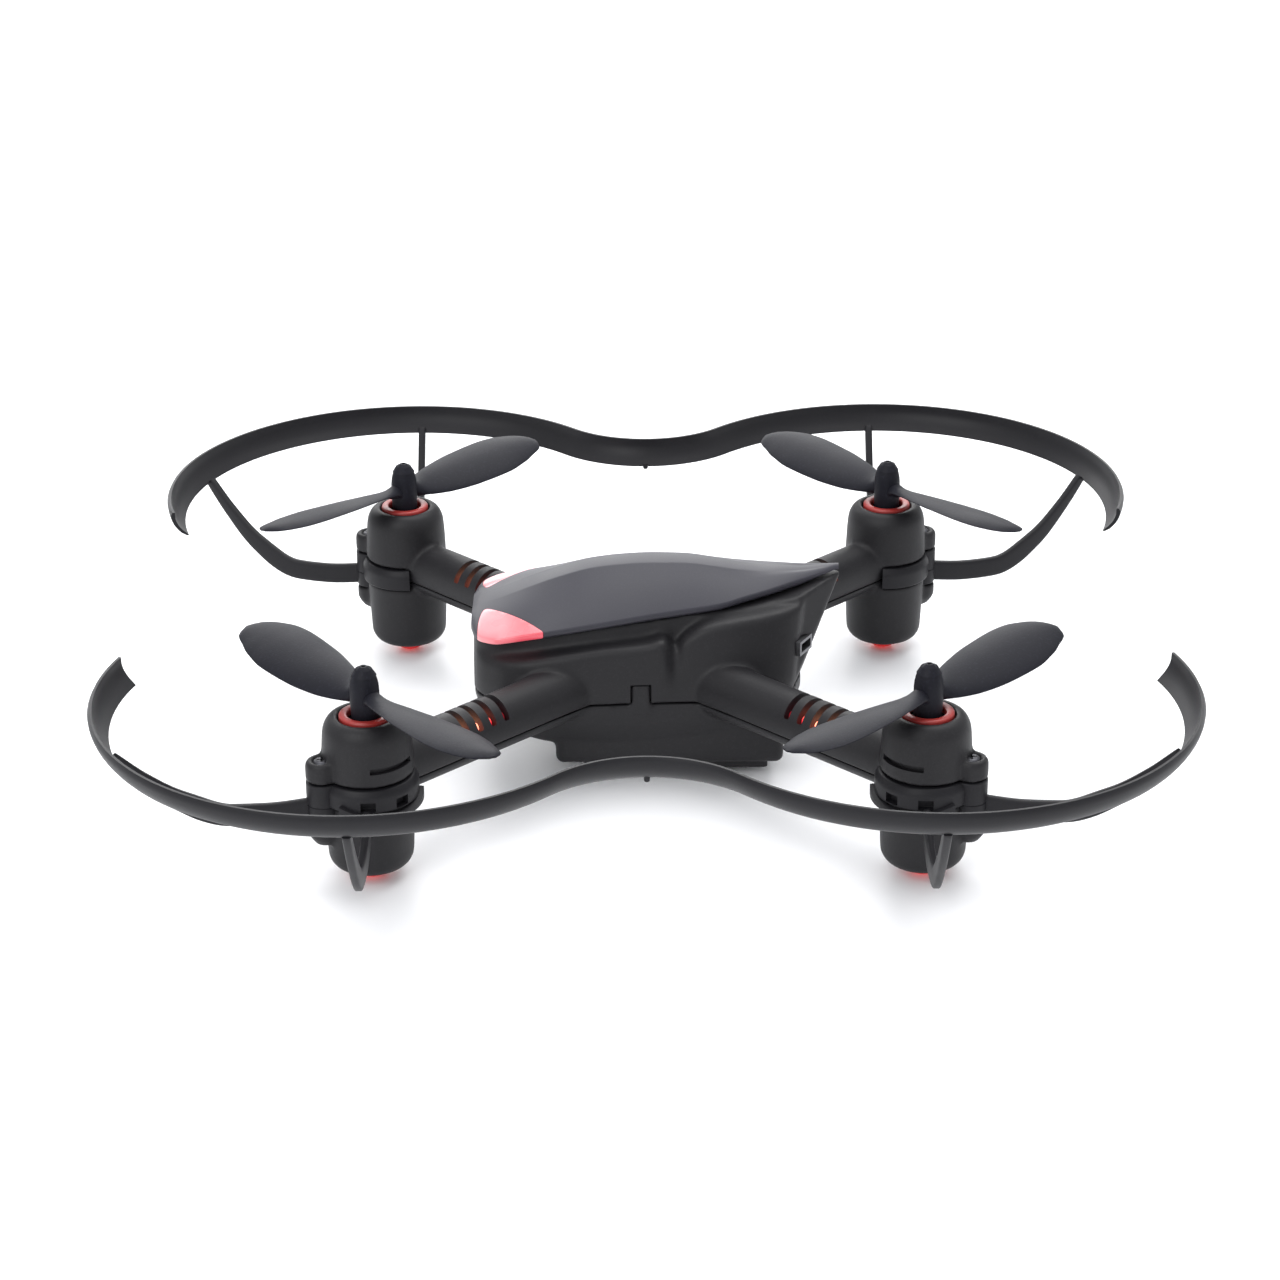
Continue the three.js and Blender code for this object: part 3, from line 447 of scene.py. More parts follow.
def tidied(bm):
    """Merges doubled points and turns every face outwards."""
    bmesh.ops.remove_doubles(bm, verts=bm.verts, dist=0.0005)
    bmesh.ops.dissolve_degenerate(bm, edges=bm.edges, dist=0.0002)
    bmesh.ops.recalc_face_normals(bm, faces=bm.faces)
    return bm


def outline(bm, points, closed=False):
    """Adds an outline to a bmesh and returns its points and edges."""
    verts = [bm.verts.new(point) for point in points]
    pairs = list(zip(verts, verts[1:])) + ([(verts[-1], verts[0])] if closed else [])
    return verts + [bm.edges.new(pair) for pair in pairs]


def edges_in(geometry):
    return [item for item in geometry if isinstance(item, bmesh.types.BMEdge)]


def turned(profile, steps=64):
    """A solid of revolution about +Z from [radius, z] corners that begin and end on the axis."""
    bm = bmesh.new()
    drawn = outline(bm, [(r, 0, z) for r, z in rounded(profile)])
    turn = {"cent": (0, 0, 0), "axis": (0, 0, 1), "angle": math.tau, "steps": steps}
    bmesh.ops.spin(bm, geom=drawn, use_merge=True, **turn)
    return tidied(bm)


def swept(profile, start, angle, steps=48):
    """A part turn of a closed [radius, z] outline about +Z, capped at both ends."""
    bm = bmesh.new()
    out = Vector((math.cos(start), math.sin(start), 0))
    drawn = outline(bm, [out * r + Vector((0, 0, z)) for r, z in profile], closed=True)
    first = edges_in(drawn)
    spun = bmesh.ops.spin(bm, geom=drawn, cent=(0, 0, 0), axis=(0, 0, 1), angle=angle, steps=steps)
    bmesh.ops.contextual_create(bm, geom=first)
    bmesh.ops.contextual_create(bm, geom=edges_in(spun["geom_last"]))
    return tidied(bm)


def loft(rings):
    """A closed solid through a row of rings of points."""
    bm = bmesh.new()
    loops = [edges_in(outline(bm, ring, closed=True)) for ring in rings]
    for one, other in zip(loops, loops[1:]):
        bmesh.ops.bridge_loops(bm, edges=one + other)
    for end in (loops[0], loops[-1]):
        bmesh.ops.contextual_create(bm, geom=end)
    return tidied(bm)


def block(low, high, bevel=0.0, segments=3):
    """A box between two corners, with rounded edges if a bevel is given."""
    bm = bmesh.new()
    size = Vector(high) - Vector(low)
    place = Matrix.Translation((Vector(high) + Vector(low)) / 2) @ Matrix.Diagonal((*size, 1))
    bmesh.ops.create_cube(bm, size=1, matrix=place)
    if bevel:
        bmesh.ops.bevel(
            bm, geom=bm.edges[:], offset=bevel, offset_type="OFFSET", segments=segments,
            profile=0.5, affect="EDGES", material=-1,
        )
    return tidied(bm)


def smooth_row(rows, count):
    """Rows of numbers on a smooth curve through the given rows, spaced by the first number."""
    made = []
    for step in range(count):
        x = rows[0][0] + (rows[-1][0] - rows[0][0]) * step / (count - 1)
        i = max(k for k in range(len(rows) - 1) if rows[k][0] <= x or k == 0)
        t = (x - rows[i][0]) / (rows[i + 1][0] - rows[i][0])
        made.append([x] + [eased(rows, i, column, t) for column in range(1, len(rows[0]))])
    return made


def slope(rows, i, column):
    """The gentlest slope at a row that neither side overshoots."""
    if i in (0, len(rows) - 1):
        return 0.0
    steps = [(rows[k + 1][column] - rows[k][column]) / (rows[k + 1][0] - rows[k][0]) for k in (i - 1, i)]
    if steps[0] * steps[1] <= 0:
        return 0.0
    return 2 * steps[0] * steps[1] / (steps[0] + steps[1])


def eased(rows, i, column, t):
    span = rows[i + 1][0] - rows[i][0]
    low, high = rows[i][column], rows[i + 1][column]
    low_slope, high_slope = slope(rows, i, column) * span, slope(rows, i + 1, column) * span
    return (
        (2 * t**3 - 3 * t**2 + 1) * low + (t**3 - 2 * t**2 + t) * low_slope
        + (3 * t**2 - 2 * t**3) * high + (t**3 - t**2) * high_slope
    )


# %% [markdown]
# ## From a shape to a finished piece
#
# A shape is mirrored to its corner, cut or fused while it is still in millimetres, and only then
# becomes a piece: its mesh is scaled to metres, it is shaded smooth with sharp edges kept, it gets
# its material, it is hung on the empty of the body it rides on, and the solids it stands for are hidden.

# %% Place, cut, fuse and finish


def moved(bm, matrix):
    """Transforms a shape and keeps its faces outwards when the matrix mirrors it."""
    bmesh.ops.transform(bm, matrix=matrix, verts=bm.verts)
    if matrix.determinant() < 0:
        bmesh.ops.reverse_faces(bm, faces=bm.faces)
    return bm


def shifted(bm, x=0.0, y=0.0, z=0.0):
    return moved(bm, Matrix.Translation((x, y, z)))


def at_corner(bm, corner):
    """Puts a shape drawn about the middle for the +X +Y corner into another corner."""
    return moved(bm, Matrix.Diagonal((*CORNERS[corner], 1, 1)))


def at_motor(bm, corner):
    return at_corner(shifted(bm, HALF_PITCH, HALF_PITCH), corner)


def joined(shapes):
    """One bmesh that holds several shapes side by side."""
    whole = bmesh.new()
    for shape in shapes:
        mesh = bpy.data.meshes.new("part")
        shape.to_mesh(mesh)
        whole.from_mesh(mesh)
        bpy.data.meshes.remove(mesh)
        shape.free()
    return whole


def drafted(name, bm):
    """An object in millimetres for modifiers to work on."""
    mesh = bpy.data.meshes.new(name)
    bm.to_mesh(mesh)
    bm.free()
    draft = bpy.data.objects.new(name, mesh)
    bpy.context.scene.collection.objects.link(draft)
    return draft


def settled(draft):
    """Applies a draft's modifiers."""
    bpy.context.view_layer.update()
    graph = bpy.context.evaluated_depsgraph_get()
    mesh = bpy.data.meshes.new_from_object(draft.evaluated_get(graph))
    draft.modifiers.clear()
    draft.data = mesh
    return draft


def combined(draft, shape, operation):
    """Cuts a shape from a draft, adds it, or keeps what both hold."""
    tool = drafted("tool", shape)
    boolean = draft.modifiers.new("combine", "BOOLEAN")
    boolean.operation = operation
    boolean.solver = "EXACT"
    boolean.object = tool
    settled(draft)
    bpy.data.objects.remove(tool)
    return draft


def shape_of(draft):
    """The draft's mesh as a bmesh again, and the draft removed."""
    bm = bmesh.new()
    bm.from_mesh(draft.data)
    bpy.data.objects.remove(draft)
    return tidied(bm)


def cut(shape, tools):
    """A shape with the tools cut out of it."""
    draft = drafted("cut", shape)
    for tool in tools:
        combined(draft, tool, "DIFFERENCE")
    return shape_of(draft)


def fused(name, shapes, voxel, rounds):
    """Overlapping shapes melted into one skin with soft inner corners."""
    draft = drafted(name, joined(shapes))
    remesh = draft.modifiers.new("fuse", "REMESH")
    remesh.mode = "VOXEL"
    remesh.voxel_size = voxel
    soften = draft.modifiers.new("soften", "SMOOTH")
    soften.factor = 0.5
    soften.iterations = rounds
    return settled(draft)


def carved(draft, tools):
    """A melted skin with its small crisp features cut afterwards, all in one go."""
    return combined(draft, joined(tools), "DIFFERENCE")


def finished(draft, material, body, replaces=(), sharp=35):
    """Turns a draft into a finished piece in metres."""
    piece = draft
    piece.data.transform(Matrix.Scale(MM, 4))
    piece.data.shade_smooth()
    piece.data.set_sharp_from_angle(angle=math.radians(sharp))
    piece.data.materials.clear()
    piece.data.materials.append(material)
    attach(piece, body)
    if replaces:
        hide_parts(*replaces)
    print(f"{piece.name}: {sum(len(face.vertices) - 2 for face in piece.data.polygons)} triangles")
    return piece


# %% [markdown]
# ## The guards
#
# Each side has one guard: a thin wavy band that circles both propellers and dips between them, two
# ribbon struts to each pod, and a C-shaped collar with a screw boss round each pod's neck. The band
# could be a curve with a bevel, but its section leans outwards and bulges, so it is one outline spun
# three times: round one motor, back round the middle of the dip, and round the other motor.

# %% The band
BAND_TOP_Z = GUARD_HIGH.z
BAND_BOTTOM_Z = 32.4
BAND_LEAN = 2.7
BAND_BULGE = 0.9
BAND_THICKNESS = 0.85
BAND_LIP = 0.25                 # how much thicker the band is at its two edges
BAND_END_TURN = math.radians(18)
DIP_REACH = 79.5
FACE_STEPS = 8


def band_section():
    """The band's outline as [distance from the motor, height] points."""
    outer, inner = [], []
    for step in range(FACE_STEPS + 1):
        t = step / FACE_STEPS
        z = BAND_BOTTOM_Z + (BAND_TOP_Z - BAND_BOTTOM_Z) * t
        face = GUARD_RADIUS - BAND_LEAN * (1 - t) + BAND_BULGE * 4 * t * (1 - t)
        lip = BAND_LIP * abs(2 * t - 1) ** 6
        corner = 0.3 if step in (0, FACE_STEPS) else 0.0
        rim = corner * (1 if step == 0 else -1)
        outer.append((face - corner, z, rim))
        inner.append((face - BAND_THICKNESS - lip + corner, z, rim))
    outer = [(outer[0][0], outer[0][1])] + [(face, z + rim) for face, z, rim in outer][1:-1] + [outer[-1][:2]]
    inner = [(inner[0][0], inner[0][1])] + [(face, z + rim) for face, z, rim in inner][1:-1] + [inner[-1][:2]]
    return outer + inner[::-1]


def band():
    """Spins the section round the rear lobe, the dip and the front lobe of the +Y guard."""
    dip_depth = DIP_REACH - HALF_PITCH
    dip_radius = (HALF_PITCH**2 + dip_depth**2 - GUARD_RADIUS**2) / (2 * (GUARD_RADIUS - dip_depth))
    dip_y = DIP_REACH + dip_radius
    turnover = math.atan2(dip_y - HALF_PITCH, HALF_PITCH)
    lobe_angle = math.pi - turnover + BAND_END_TURN
    stages = [
        ((HALF_PITCH, HALF_PITCH, 0), lobe_angle, 56),
        ((0, dip_y, 0), 2 * turnover - math.pi, 28),
        ((-HALF_PITCH, HALF_PITCH, 0), lobe_angle, 56),
    ]
    bm = bmesh.new()
    out = Vector((math.cos(-BAND_END_TURN), math.sin(-BAND_END_TURN), 0))
    motor = Vector((HALF_PITCH, HALF_PITCH, 0))
    section = [motor + out * r + Vector((0, 0, z)) for r, z in band_section()]
    last = outline(bm, section, closed=True)
    first = edges_in(last)
    for centre, angle, steps in stages:
        last = bmesh.ops.spin(
            bm, geom=last, cent=centre, axis=(0, 0, 1), angle=angle, steps=steps,
        )["geom_last"]
    bmesh.ops.contextual_create(bm, geom=first)
    bmesh.ops.contextual_create(bm, geom=edges_in(last))
    return tidied(bm)


# %% [markdown]
# The struts are flat ribbons on edge. Each follows a smooth line from the collar down, outwards and
# up to the band, and it gets lower towards its tip. A ribbon is a row of rounded sections that stand
# square to the line.

# %% The struts
STRUT_HEIGHT = 4.3
STRUT_TIP_HEIGHT = 1.8
STRUT_THICKNESS = 1.6
SIDE_STRUT = [
    (10.5, 4.2, 15.9), (17, 5.2, 15.4), (24.5, 6.6, 15.8), (33.2, 10.2, 20.6), (39.4, 13.9, 27),
    (43.6, 16.6, 32.6),
]
END_STRUT = [
    (-0.4, 9.0, 15.9), (-0.5, 12.8, 14.8), (-0.6, 21, 14.0), (-0.65, 30, 15.3), (-0.65, 39, 22.6),
    (-0.65, 47.3, 33.2),
]


def line_through(points, count):
    """Points on a smooth line through the given ones, with the line's direction at each."""
    reach = [0.0]
    for one, other in zip(points, points[1:]):
        reach.append(reach[-1] + (Vector(other) - Vector(one)).length)
    rows = smooth_row([(d, *point) for d, point in zip(reach, points)], count)
    line = [Vector(row[1:]) for row in rows]
    ways = [(line[min(i + 1, count - 1)] - line[max(i - 1, 0)]).normalized() for i in range(count)]
    return list(zip(line, ways))


def ribbon(points, count=40):
    rings = []
    for i, (at, way) in enumerate(line_through(points, count)):
        side = Vector((way.y, -way.x, 0)).normalized()
        rise = side.cross(way).normalized()
        taper = max(0.0, 2 * i / (count - 1) - 1)
        half = (STRUT_HEIGHT + (STRUT_TIP_HEIGHT - STRUT_HEIGHT) * taper) / 2
        ring = []
        for step in range(16):
            turn = (step + 0.5) / 16 * math.tau
            across = math.copysign(abs(math.cos(turn)) ** 0.45, math.cos(turn)) * STRUT_THICKNESS / 2
            up = math.copysign(abs(math.sin(turn)) ** 0.45, math.sin(turn)) * half
            ring.append(at + side * across + rise * up)
        rings.append(ring)
    return loft(rings)


# %% [markdown]
# The collar is a part turn of a rounded section, open on the arm's side, with two small windows
# where it clips to the pod. The boss beside it takes the screw that holds the guard.

# %% The collars and their bosses
COLLAR_LOW_Z = 17.1
COLLAR_HIGH_Z = 21.5
COLLAR_INSIDE = 6.9
COLLAR_OUTSIDE = 9.4
COLLAR_MOUTH_HALF = math.radians(38)
BOSS_TURN = math.radians(25)
BOSS_DISTANCE = 8.8
BOSS_RADIUS = 3.2
BOSS_PLACE = (BOSS_DISTANCE * math.cos(BOSS_TURN), BOSS_DISTANCE * math.sin(BOSS_TURN))
WINDOW_TURNS = (math.radians(94), math.radians(136))
SLEEVE_OUTSIDE = 10.2


def collar():
    inside, outside = COLLAR_INSIDE, COLLAR_OUTSIDE
    section = rounded([
        (inside, (COLLAR_LOW_Z + COLLAR_HIGH_Z) / 2), (inside, COLLAR_LOW_Z), (outside, COLLAR_LOW_Z, 0.4),
        (outside, COLLAR_HIGH_Z - 1.3, 0.5), (outside - 0.7, COLLAR_HIGH_Z, 0.3),
        (inside, COLLAR_HIGH_Z),
    ])
    start = math.radians(225) + COLLAR_MOUTH_HALF
    ring = swept(section, start, math.tau - 2 * COLLAR_MOUTH_HALF, 72)
    windows = []
    for turn in WINDOW_TURNS:
        window = block((outside - 1.6, -1.4, 17.5), (outside + 1, 1.4, 19.4), 0.1)
        windows.append(moved(window, Matrix.Rotation(turn, 4, "Z")))
    return cut(ring, windows)


def sleeve():
    """The collar's outer sleeve. Its top edge climbs from the outward side to the arm's side."""
    low = 15.6
    wall = rounded([
        (9.0, 19), (9.0, low), (SLEEVE_OUTSIDE, low, 0.4), (SLEEVE_OUTSIDE, COLLAR_HIGH_Z, 0.3),
        (9.0, COLLAR_HIGH_Z),
    ])
    ring = swept(wall, math.radians(62), math.radians(125), 48)
    tilt = Matrix.Rotation(math.radians(-12), 4, "Y") @ Matrix.Rotation(math.radians(-13), 4, "X")
    slope = Matrix.Translation((0, 9.0, 17.4)) @ tilt
    return cut(ring, [moved(block((-30, -30, 0), (30, 30, 30)), slope)])


def guard_boss():
    low = 13.7
    return shifted(turned([
        (0, low), (BOSS_RADIUS, low, 0.5), (BOSS_RADIUS, 16.9, 0.1), (BOSS_RADIUS - 0.2, 17.0, 0.1),
        (BOSS_RADIUS, 17.1, 0.1), (BOSS_RADIUS, COLLAR_HIGH_Z, 0.3), (0, COLLAR_HIGH_Z),
    ], 40), *BOSS_PLACE)


# %% Build both guards
for side, sign in {"left": -1, "right": 1}.items():
    draft = drafted(f"guard_skin_{side}", moved(band(), Matrix.Diagonal((1, sign, 1, 1))))
    for end in ("front", "rear"):
        corner = f"{end}_{'right' if sign == 1 else 'left'}"
        for shape in (ribbon(SIDE_STRUT), ribbon(END_STRUT), sleeve(), collar(), guard_boss()):
            combined(draft, at_motor(shape, corner), "UNION")
    nub = shifted(
        turned([(0, 31.7), (0.5, 31.7, 0.2), (0.6, 33, 0.1), (0, 33)], 20), 0, sign * (DIP_REACH - 2.9),
    )
    combined(draft, nub, "UNION")
    finished(draft, PLASTICS["guard"], "airframe", [f"guard_{side}"], 40)

# %% [markdown]
# ## The propellers
#
# A blade is twisted, cambered and widest a third of the way out, so it is a row of wing sections.
# The root sections are thick and grow out of the hub, which gives the smooth fillet that a moulded
# propeller has. The front-left and rear-right propellers turn one way and the others the other way,
# so one pair is the mirror image of the other.

# %% Blade and hub
# Rows along the blade: distance from the hub's axis, chord, pitch in degrees, sweep and thickness.
BLADE_ROWS = [
    (0.6, 3.0, 24, 0, 4.0), (2.6, 4.2, 23, 0, 3.0), (4.0, 5.8, 21, -0.1, 1.7),
    (6.5, 7.8, 19.5, -0.15, 1.05), (10, 9.8, 18, -0.2, 0.95), (17, 12.2, 15, -0.1, 0.85),
    (25, 13.1, 12.5, 0.15, 0.8), (30, 11.9, 11, 0.5, 0.75), (33.4, 9.5, 10, 0.55, 0.7),
    (35.4, 7.6, 9.5, 0.35, 0.6), (36.7, 5.4, 9, 0.1, 0.5), (BLADE_REACH, 1.6, 9, 0, 0.35),
]
BLADE_Z = 36.3
BLADE_RISE = 1.7
CAMBER_SHARE = 0.087


def blade_ring(row):
    reach, chord, pitch, sweep, thickness = row
    tilt = math.radians(pitch)
    middle_z = BLADE_Z + BLADE_RISE * reach / BLADE_REACH
    ring = []
    for step in range(28):
        turn = (step + 0.5) / 28 * math.tau
        across = math.cos(turn)
        along = across * chord / 2 + sweep
        arch = CAMBER_SHARE * chord * (1 - across**2)
        lift = arch + math.copysign(abs(math.sin(turn)) ** 0.8, math.sin(turn)) * thickness / 2
        ring.append(Vector((
            reach,
            along * math.cos(tilt) - lift * math.sin(tilt),
            middle_z + along * math.sin(tilt) + lift * math.cos(tilt),
        )))
    return ring


def blade():
    rings = [blade_ring(row) for row in smooth_row(BLADE_ROWS, 56)]
    return loft(rings)


def hub():
    low, high = 32.4, HUB_HIGH_Z
    return turned([
        (0, low), (2.6, low, 0.2), (2.75, 35.5, 0.4), (2.7, high - 2.4, 2.2), (1.7, high - 0.75, 1.2),
        (0.7, high, 0.3), (0.6, high, 0.05), (0.5, high - 0.9, 0.05), (0, high - 0.9),
    ], 48)


def propeller_shape():
    draft = drafted("propeller", hub())
    for half_turn in (0, math.pi):
        combined(draft, moved(blade(), Matrix.Rotation(half_turn, 4, "Z")), "UNION")
    return shape_of(draft)


# %% Build the four propellers
# Rest angle of each propeller in degrees.
REST_TURNS = {"front_left": 131, "front_right": 43.8, "rear_left": 45, "rear_right": 131}

for corner, (sx, sy) in CORNERS.items():
    shape = moved(propeller_shape(), Matrix.Diagonal((1, -sx * sy, 1, 1)))
    shape = moved(shape, Matrix.Rotation(math.radians(REST_TURNS[corner]), 4, "Z"))
    draft = drafted(f"propeller_skin_{corner}", shifted(shape, sx * HALF_PITCH, sy * HALF_PITCH))
    finished(draft, PLASTICS["blade"], f"rotor_{corner}", [f"propeller_{corner}"], 40)

# %% [markdown]
# ## The pods
#
# At the end of each arm a pod holds the motor. Its upper half belongs to the upper hull: a slightly
# tapered drum with a rounded shoulder, a seat for the red ring, a screw boss beside it and a thin
# hooked slot in its flank. Its lower half is a plain can with a rounded base. Both are turned, and
# what isn't round is cut out afterwards.

# %% Pod shapes
POD_LOW_Z = 21.8
POD_HIGH_Z = 33.1
NECK_RADIUS = 6.5
SLOT_LOW_Z = 24.6
SLOT_START = math.radians(98)
SLOT_TURN = math.radians(66)


def pod_top():
    return turned([
        (0, SEAM_HIGH_Z), (NECK_RADIUS, SEAM_HIGH_Z, 0.2), (NECK_RADIUS, POD_LOW_Z, 0.1),
        (8.55, POD_LOW_Z, 0.25), (8.35, 27.5, 1.5), (8.05, 31.2, 1.4), (6.7, POD_HIGH_Z - 0.15, 0.9),
        (5.3, POD_HIGH_Z, 0.15), (5.25, 31.5, 0.1), (1.5, 31.5, 0.1), (1.5, 29.5, 0.1), (0, 29.5),
    ])


def pod_slot():
    groove = [(7.5, SLOT_LOW_Z), (9.2, SLOT_LOW_Z), (9.2, SLOT_LOW_Z + 1.15), (7.5, SLOT_LOW_Z + 1.15)]
    return swept(groove, SLOT_START, SLOT_TURN, 40)


def boss_top():
    high = 25.8
    return shifted(turned([
        (0, SEAM_HIGH_Z + 3), (BOSS_RADIUS, SEAM_HIGH_Z + 3, 0.2), (BOSS_RADIUS, high - 0.9, 0.3),
        (BOSS_RADIUS - 0.5, high, 0.4), (1.9, high, 0.1), (1.9, high - 1.2, 0.1), (0, high - 1.2),
    ], 40), *BOSS_PLACE)


def boss_web():
    """The flat web that ties the boss to the drum."""
    web = block((5.5, -2.0, POD_LOW_Z), (BOSS_DISTANCE - 1.6, 2.0, 26.2), 0.5)
    return moved(web, Matrix.Rotation(BOSS_TURN, 4, "Z"))


def can():
    low = 2.6
    return turned([
        (0, SEAM_LOW_Z), (NECK_RADIUS, SEAM_LOW_Z, 0.2), (NECK_RADIUS, 16.8, 0.1), (8.5, 16.8, 0.3),
        (8.2, 10, 2), (7.95, low + 1.6, 1.2), (6.4, low, 1.0), (2.3, low, 0.1), (2.3, 6.4, 0.1),
        (0, 6.4),
    ])


def boss_foot():
    return shifted(turned([
        (0, 8.5), (1.7, 8.5, 0.5), (BOSS_RADIUS, 10.6, 0.8), (BOSS_RADIUS, 13.4, 0.3), (0, 13.4),
    ], 40), *BOSS_PLACE)


# %% [markdown]
# ## The arms and their vents
#
# An arm is an oval tube along the diagonal. It flares where it leaves the hull, so that the melted
# joint has a soft fillet. Four slots across its top let the heat and the red light of a small board
# out, so the arm needs a hollow behind them.

# %% Arm shapes
ARM_Z = 20.6
ARM_HALF_WIDTH = 5.0
ARM_HALF_HEIGHT = 5.6
# Rows along the diagonal: distance from the middle and how much the tube is flared there.
ARM_ROWS = [(12, 1.1), (20, 1.07), (26, 1.03), (31, 1.0), (36, 1.0), (40, 1.0), (62, 1.0), (67.5, 1.0)]
VENT_REACHES = (42.0, 45.3, 48.6, 51.9)
VENT_WIDTH = 1.35
TO_DIAGONAL = Matrix.Rotation(math.radians(45), 4, "Z")


def arm():
    rings = []
    for reach, flare in smooth_row(ARM_ROWS, 30):
        turns = [step / 40 * math.tau for step in range(40)]
        rings.append([Vector((
            reach,
            ARM_HALF_WIDTH * flare * math.cos(turn),
            ARM_Z + ARM_HALF_HEIGHT * (1 + (flare - 1) * 0.6) * math.sin(turn),
        )) for turn in turns])
    return loft(rings)


def vent_slots():
    low, high = SEAM_HIGH_Z + 3.2, 30
    half = VENT_WIDTH / 2
    return [block((reach - half, -4.6, low), (reach + half, 4.6, high), 0.3) for reach in VENT_REACHES]


def lamp_room():
    hollow = turned([(0, 38.7), (3.8, 38.7, 0.5), (3.8, 55.4, 0.5), (0, 55.4)], 32)
    return shifted(moved(hollow, Matrix.Rotation(math.pi / 2, 4, "Y")), z=ARM_Z)


def sliced(shape, z, keep_above):
    """The part of a closed shape above or below a height, closed again."""
    made = bmesh.ops.bisect_plane(
        shape, geom=shape.verts[:] + shape.edges[:] + shape.faces[:], dist=1e-4,
        plane_co=(0, 0, z), plane_no=(0, 0, 1), clear_inner=keep_above, clear_outer=not keep_above,
    )
    bmesh.ops.holes_fill(shape, edges=edges_in(made["geom_cut"]))
    return tidied(shape)


def half_arm(z, keep_above):
    return moved(sliced(cut(arm(), [lamp_room()]), z, keep_above), TO_DIAGONAL)


# %% [markdown]
# ## The hull
#
# The hull's flank is what gives the aircraft its look. From the seam it rises as a plain wall to a
# rounded shoulder. The shoulder climbs from the nose to the middle, dips in a groove, and climbs
# again to the tail, and above it the wall steps back into a shadow under the canopy. So the upper
# hull is a row of sections whose shoulder height and width are columns of numbers, joined by smooth
# curves from row to row.

# %% Hull shapes
# Rows: x, lean of the section towards +X, half widths at the seam and at the shoulder, the
# shoulder's height, the half width of the step above it, and the roof's height.
UPPER_ROWS = [
    (-34.0, 0, 9.2, 8.6, 26.2, 7.0, 29.9), (-33.2, 0, 11.6, 11.2, 26.6, 9.6, 30.1),
    (-31, 0, 14.4, 13.8, 26.6, 11.8, 30.3), (-27.5, 0, 17.2, 16.4, 27.2, 13.2, 30.8),
    (-22, 0, 18.9, 18.1, 28.1, 14.0, 31.6), (-16, 0, 18.8, 18.2, 29.0, 14.0, 32.4),
    (-8, 0, 18.0, 17.9, 30.0, 13.6, 33.4), (0, 0, 17.5, 17.6, 30.7, 12.6, 34.2),
    (3.4, 0, 17.3, 17.2, 31.5, 12.2, 34.5), (5.6, 0, 17.1, 14.9, 29.6, 11.8, 34.7),
    (7.6, 0, 17.0, 15.6, 31.4, 11.4, 34.9), (11.5, 0, 16.9, 15.4, 33.6, 10.9, 35.2),
    (16.5, 0.2, 16.6, 14.8, 34.6, 10.2, 35.5), (22, 0.6, 15.8, 13.4, 35.2, 8.6, 36.1),
    (26, 1.4, 14.4, 11.6, 35.7, 6.8, 36.7), (28.3, 2.0, 12.6, 9.6, 36.2, 4.8, 37.1),
    (28.9, 2.1, 11.4, 8.4, 36.3, 4.0, 37.2),
]
# Rows: x, half widths at the seam and at the belly, and the belly's height.
LOWER_ROWS = [
    (-34.0, 9.2, 6.0, 15.6), (-33.2, 11.6, 8.6, 14.0), (-31, 14.4, 10.6, 12.4),
    (-27, 17.3, 12.6, 10.4), (-20, 18.9, 13.8, 8.4), (-10, 18.2, 14.4, 7.2), (0, 17.5, 14.4, 6.8),
    (10, 17.0, 14.2, 6.6), (20, 16.3, 13.6, 7.2), (26, 14.4, 11.4, 8.8), (28.3, 12.6, 8.6, 11.0),
    (29.6, 8.5, 5.6, 12.6), (30.8, 3.0, 2.0, 14.6),
]
HULL_SECTIONS = 90


def both_sides(half):
    """A closed ring of (y, z) points from the half that lies at +Y."""
    return half + [Vector((-y, z)) for y, z in reversed(half) if y > 0.001]


def upper_ring(row):
    x, lean, seam, shoulder, shoulder_z, step, roof = row
    waist_z = SEAM_HIGH_Z + 3
    half = rounded([
        (0, SEAM_HIGH_Z), (seam, SEAM_HIGH_Z, 0.3), (seam + 0.25, waist_z, 1.2),
        (shoulder, shoulder_z, 1.5),
        (step + 0.5, shoulder_z + 0.5, 0.8), (step, max(roof, shoulder_z - 1.2), 0.4),
        (0, max(roof, shoulder_z - 1.2)),
    ])
    rise = shoulder_z - SEAM_HIGH_Z
    return [Vector((x + lean * (z - SEAM_HIGH_Z) / rise, y, z)) for y, z in both_sides(half)]


def lower_ring(row):
    x, seam, belly, low = row
    half = rounded([
        (0, low), (belly, low, 2.2), (seam - 0.5, (low + SEAM_LOW_Z) / 2 + 1.5, 1.4),
        (seam, SEAM_LOW_Z, 0.25),
        (0, SEAM_LOW_Z),
    ])
    return [Vector((x, y, z)) for y, z in both_sides(half)]


def fin():
    """The thin upright wedge that carries the canopy's tail."""
    low = [(24, -12.5), (28.4, -12.2), (31.2, -0.5), (31.2, 0.5), (28.4, 12.2), (24, 12.5)]
    high = [
        (26, -8.5, 36.4), (30.0, -8.3, 37.2), (38.4, -0.5, 39.4),
        (38.4, 0.5, 39.4), (30.0, 8.3, 37.2), (26, 8.5, 36.4),
    ]
    return loft([[Vector((x, y, SEAM_HIGH_Z)) for x, y in low], [Vector(point) for point in high]])


def hull_loft(rows, ring_of):
    return loft([ring_of(row) for row in smooth_row(rows, HULL_SECTIONS)])


# %% [markdown]
# The two hull halves snap together: on each side a tab of the lower hull stands in a window of the
# upper one. The port in the tail is an oval recess. The window and the port are cut after the parts
# are melted together, in one go with the vent slots and the pod slots, so that their edges stay crisp.

# %% Tab and port
TAB_X = -1.1
TAB_HALF = 1.8
TAB_HIGH_Z = 22.6
TAB_OUTSIDE = 17.75
PORT_PLACE = (29.2, -8.2, 27.5)
PORT_TURN = 0.5


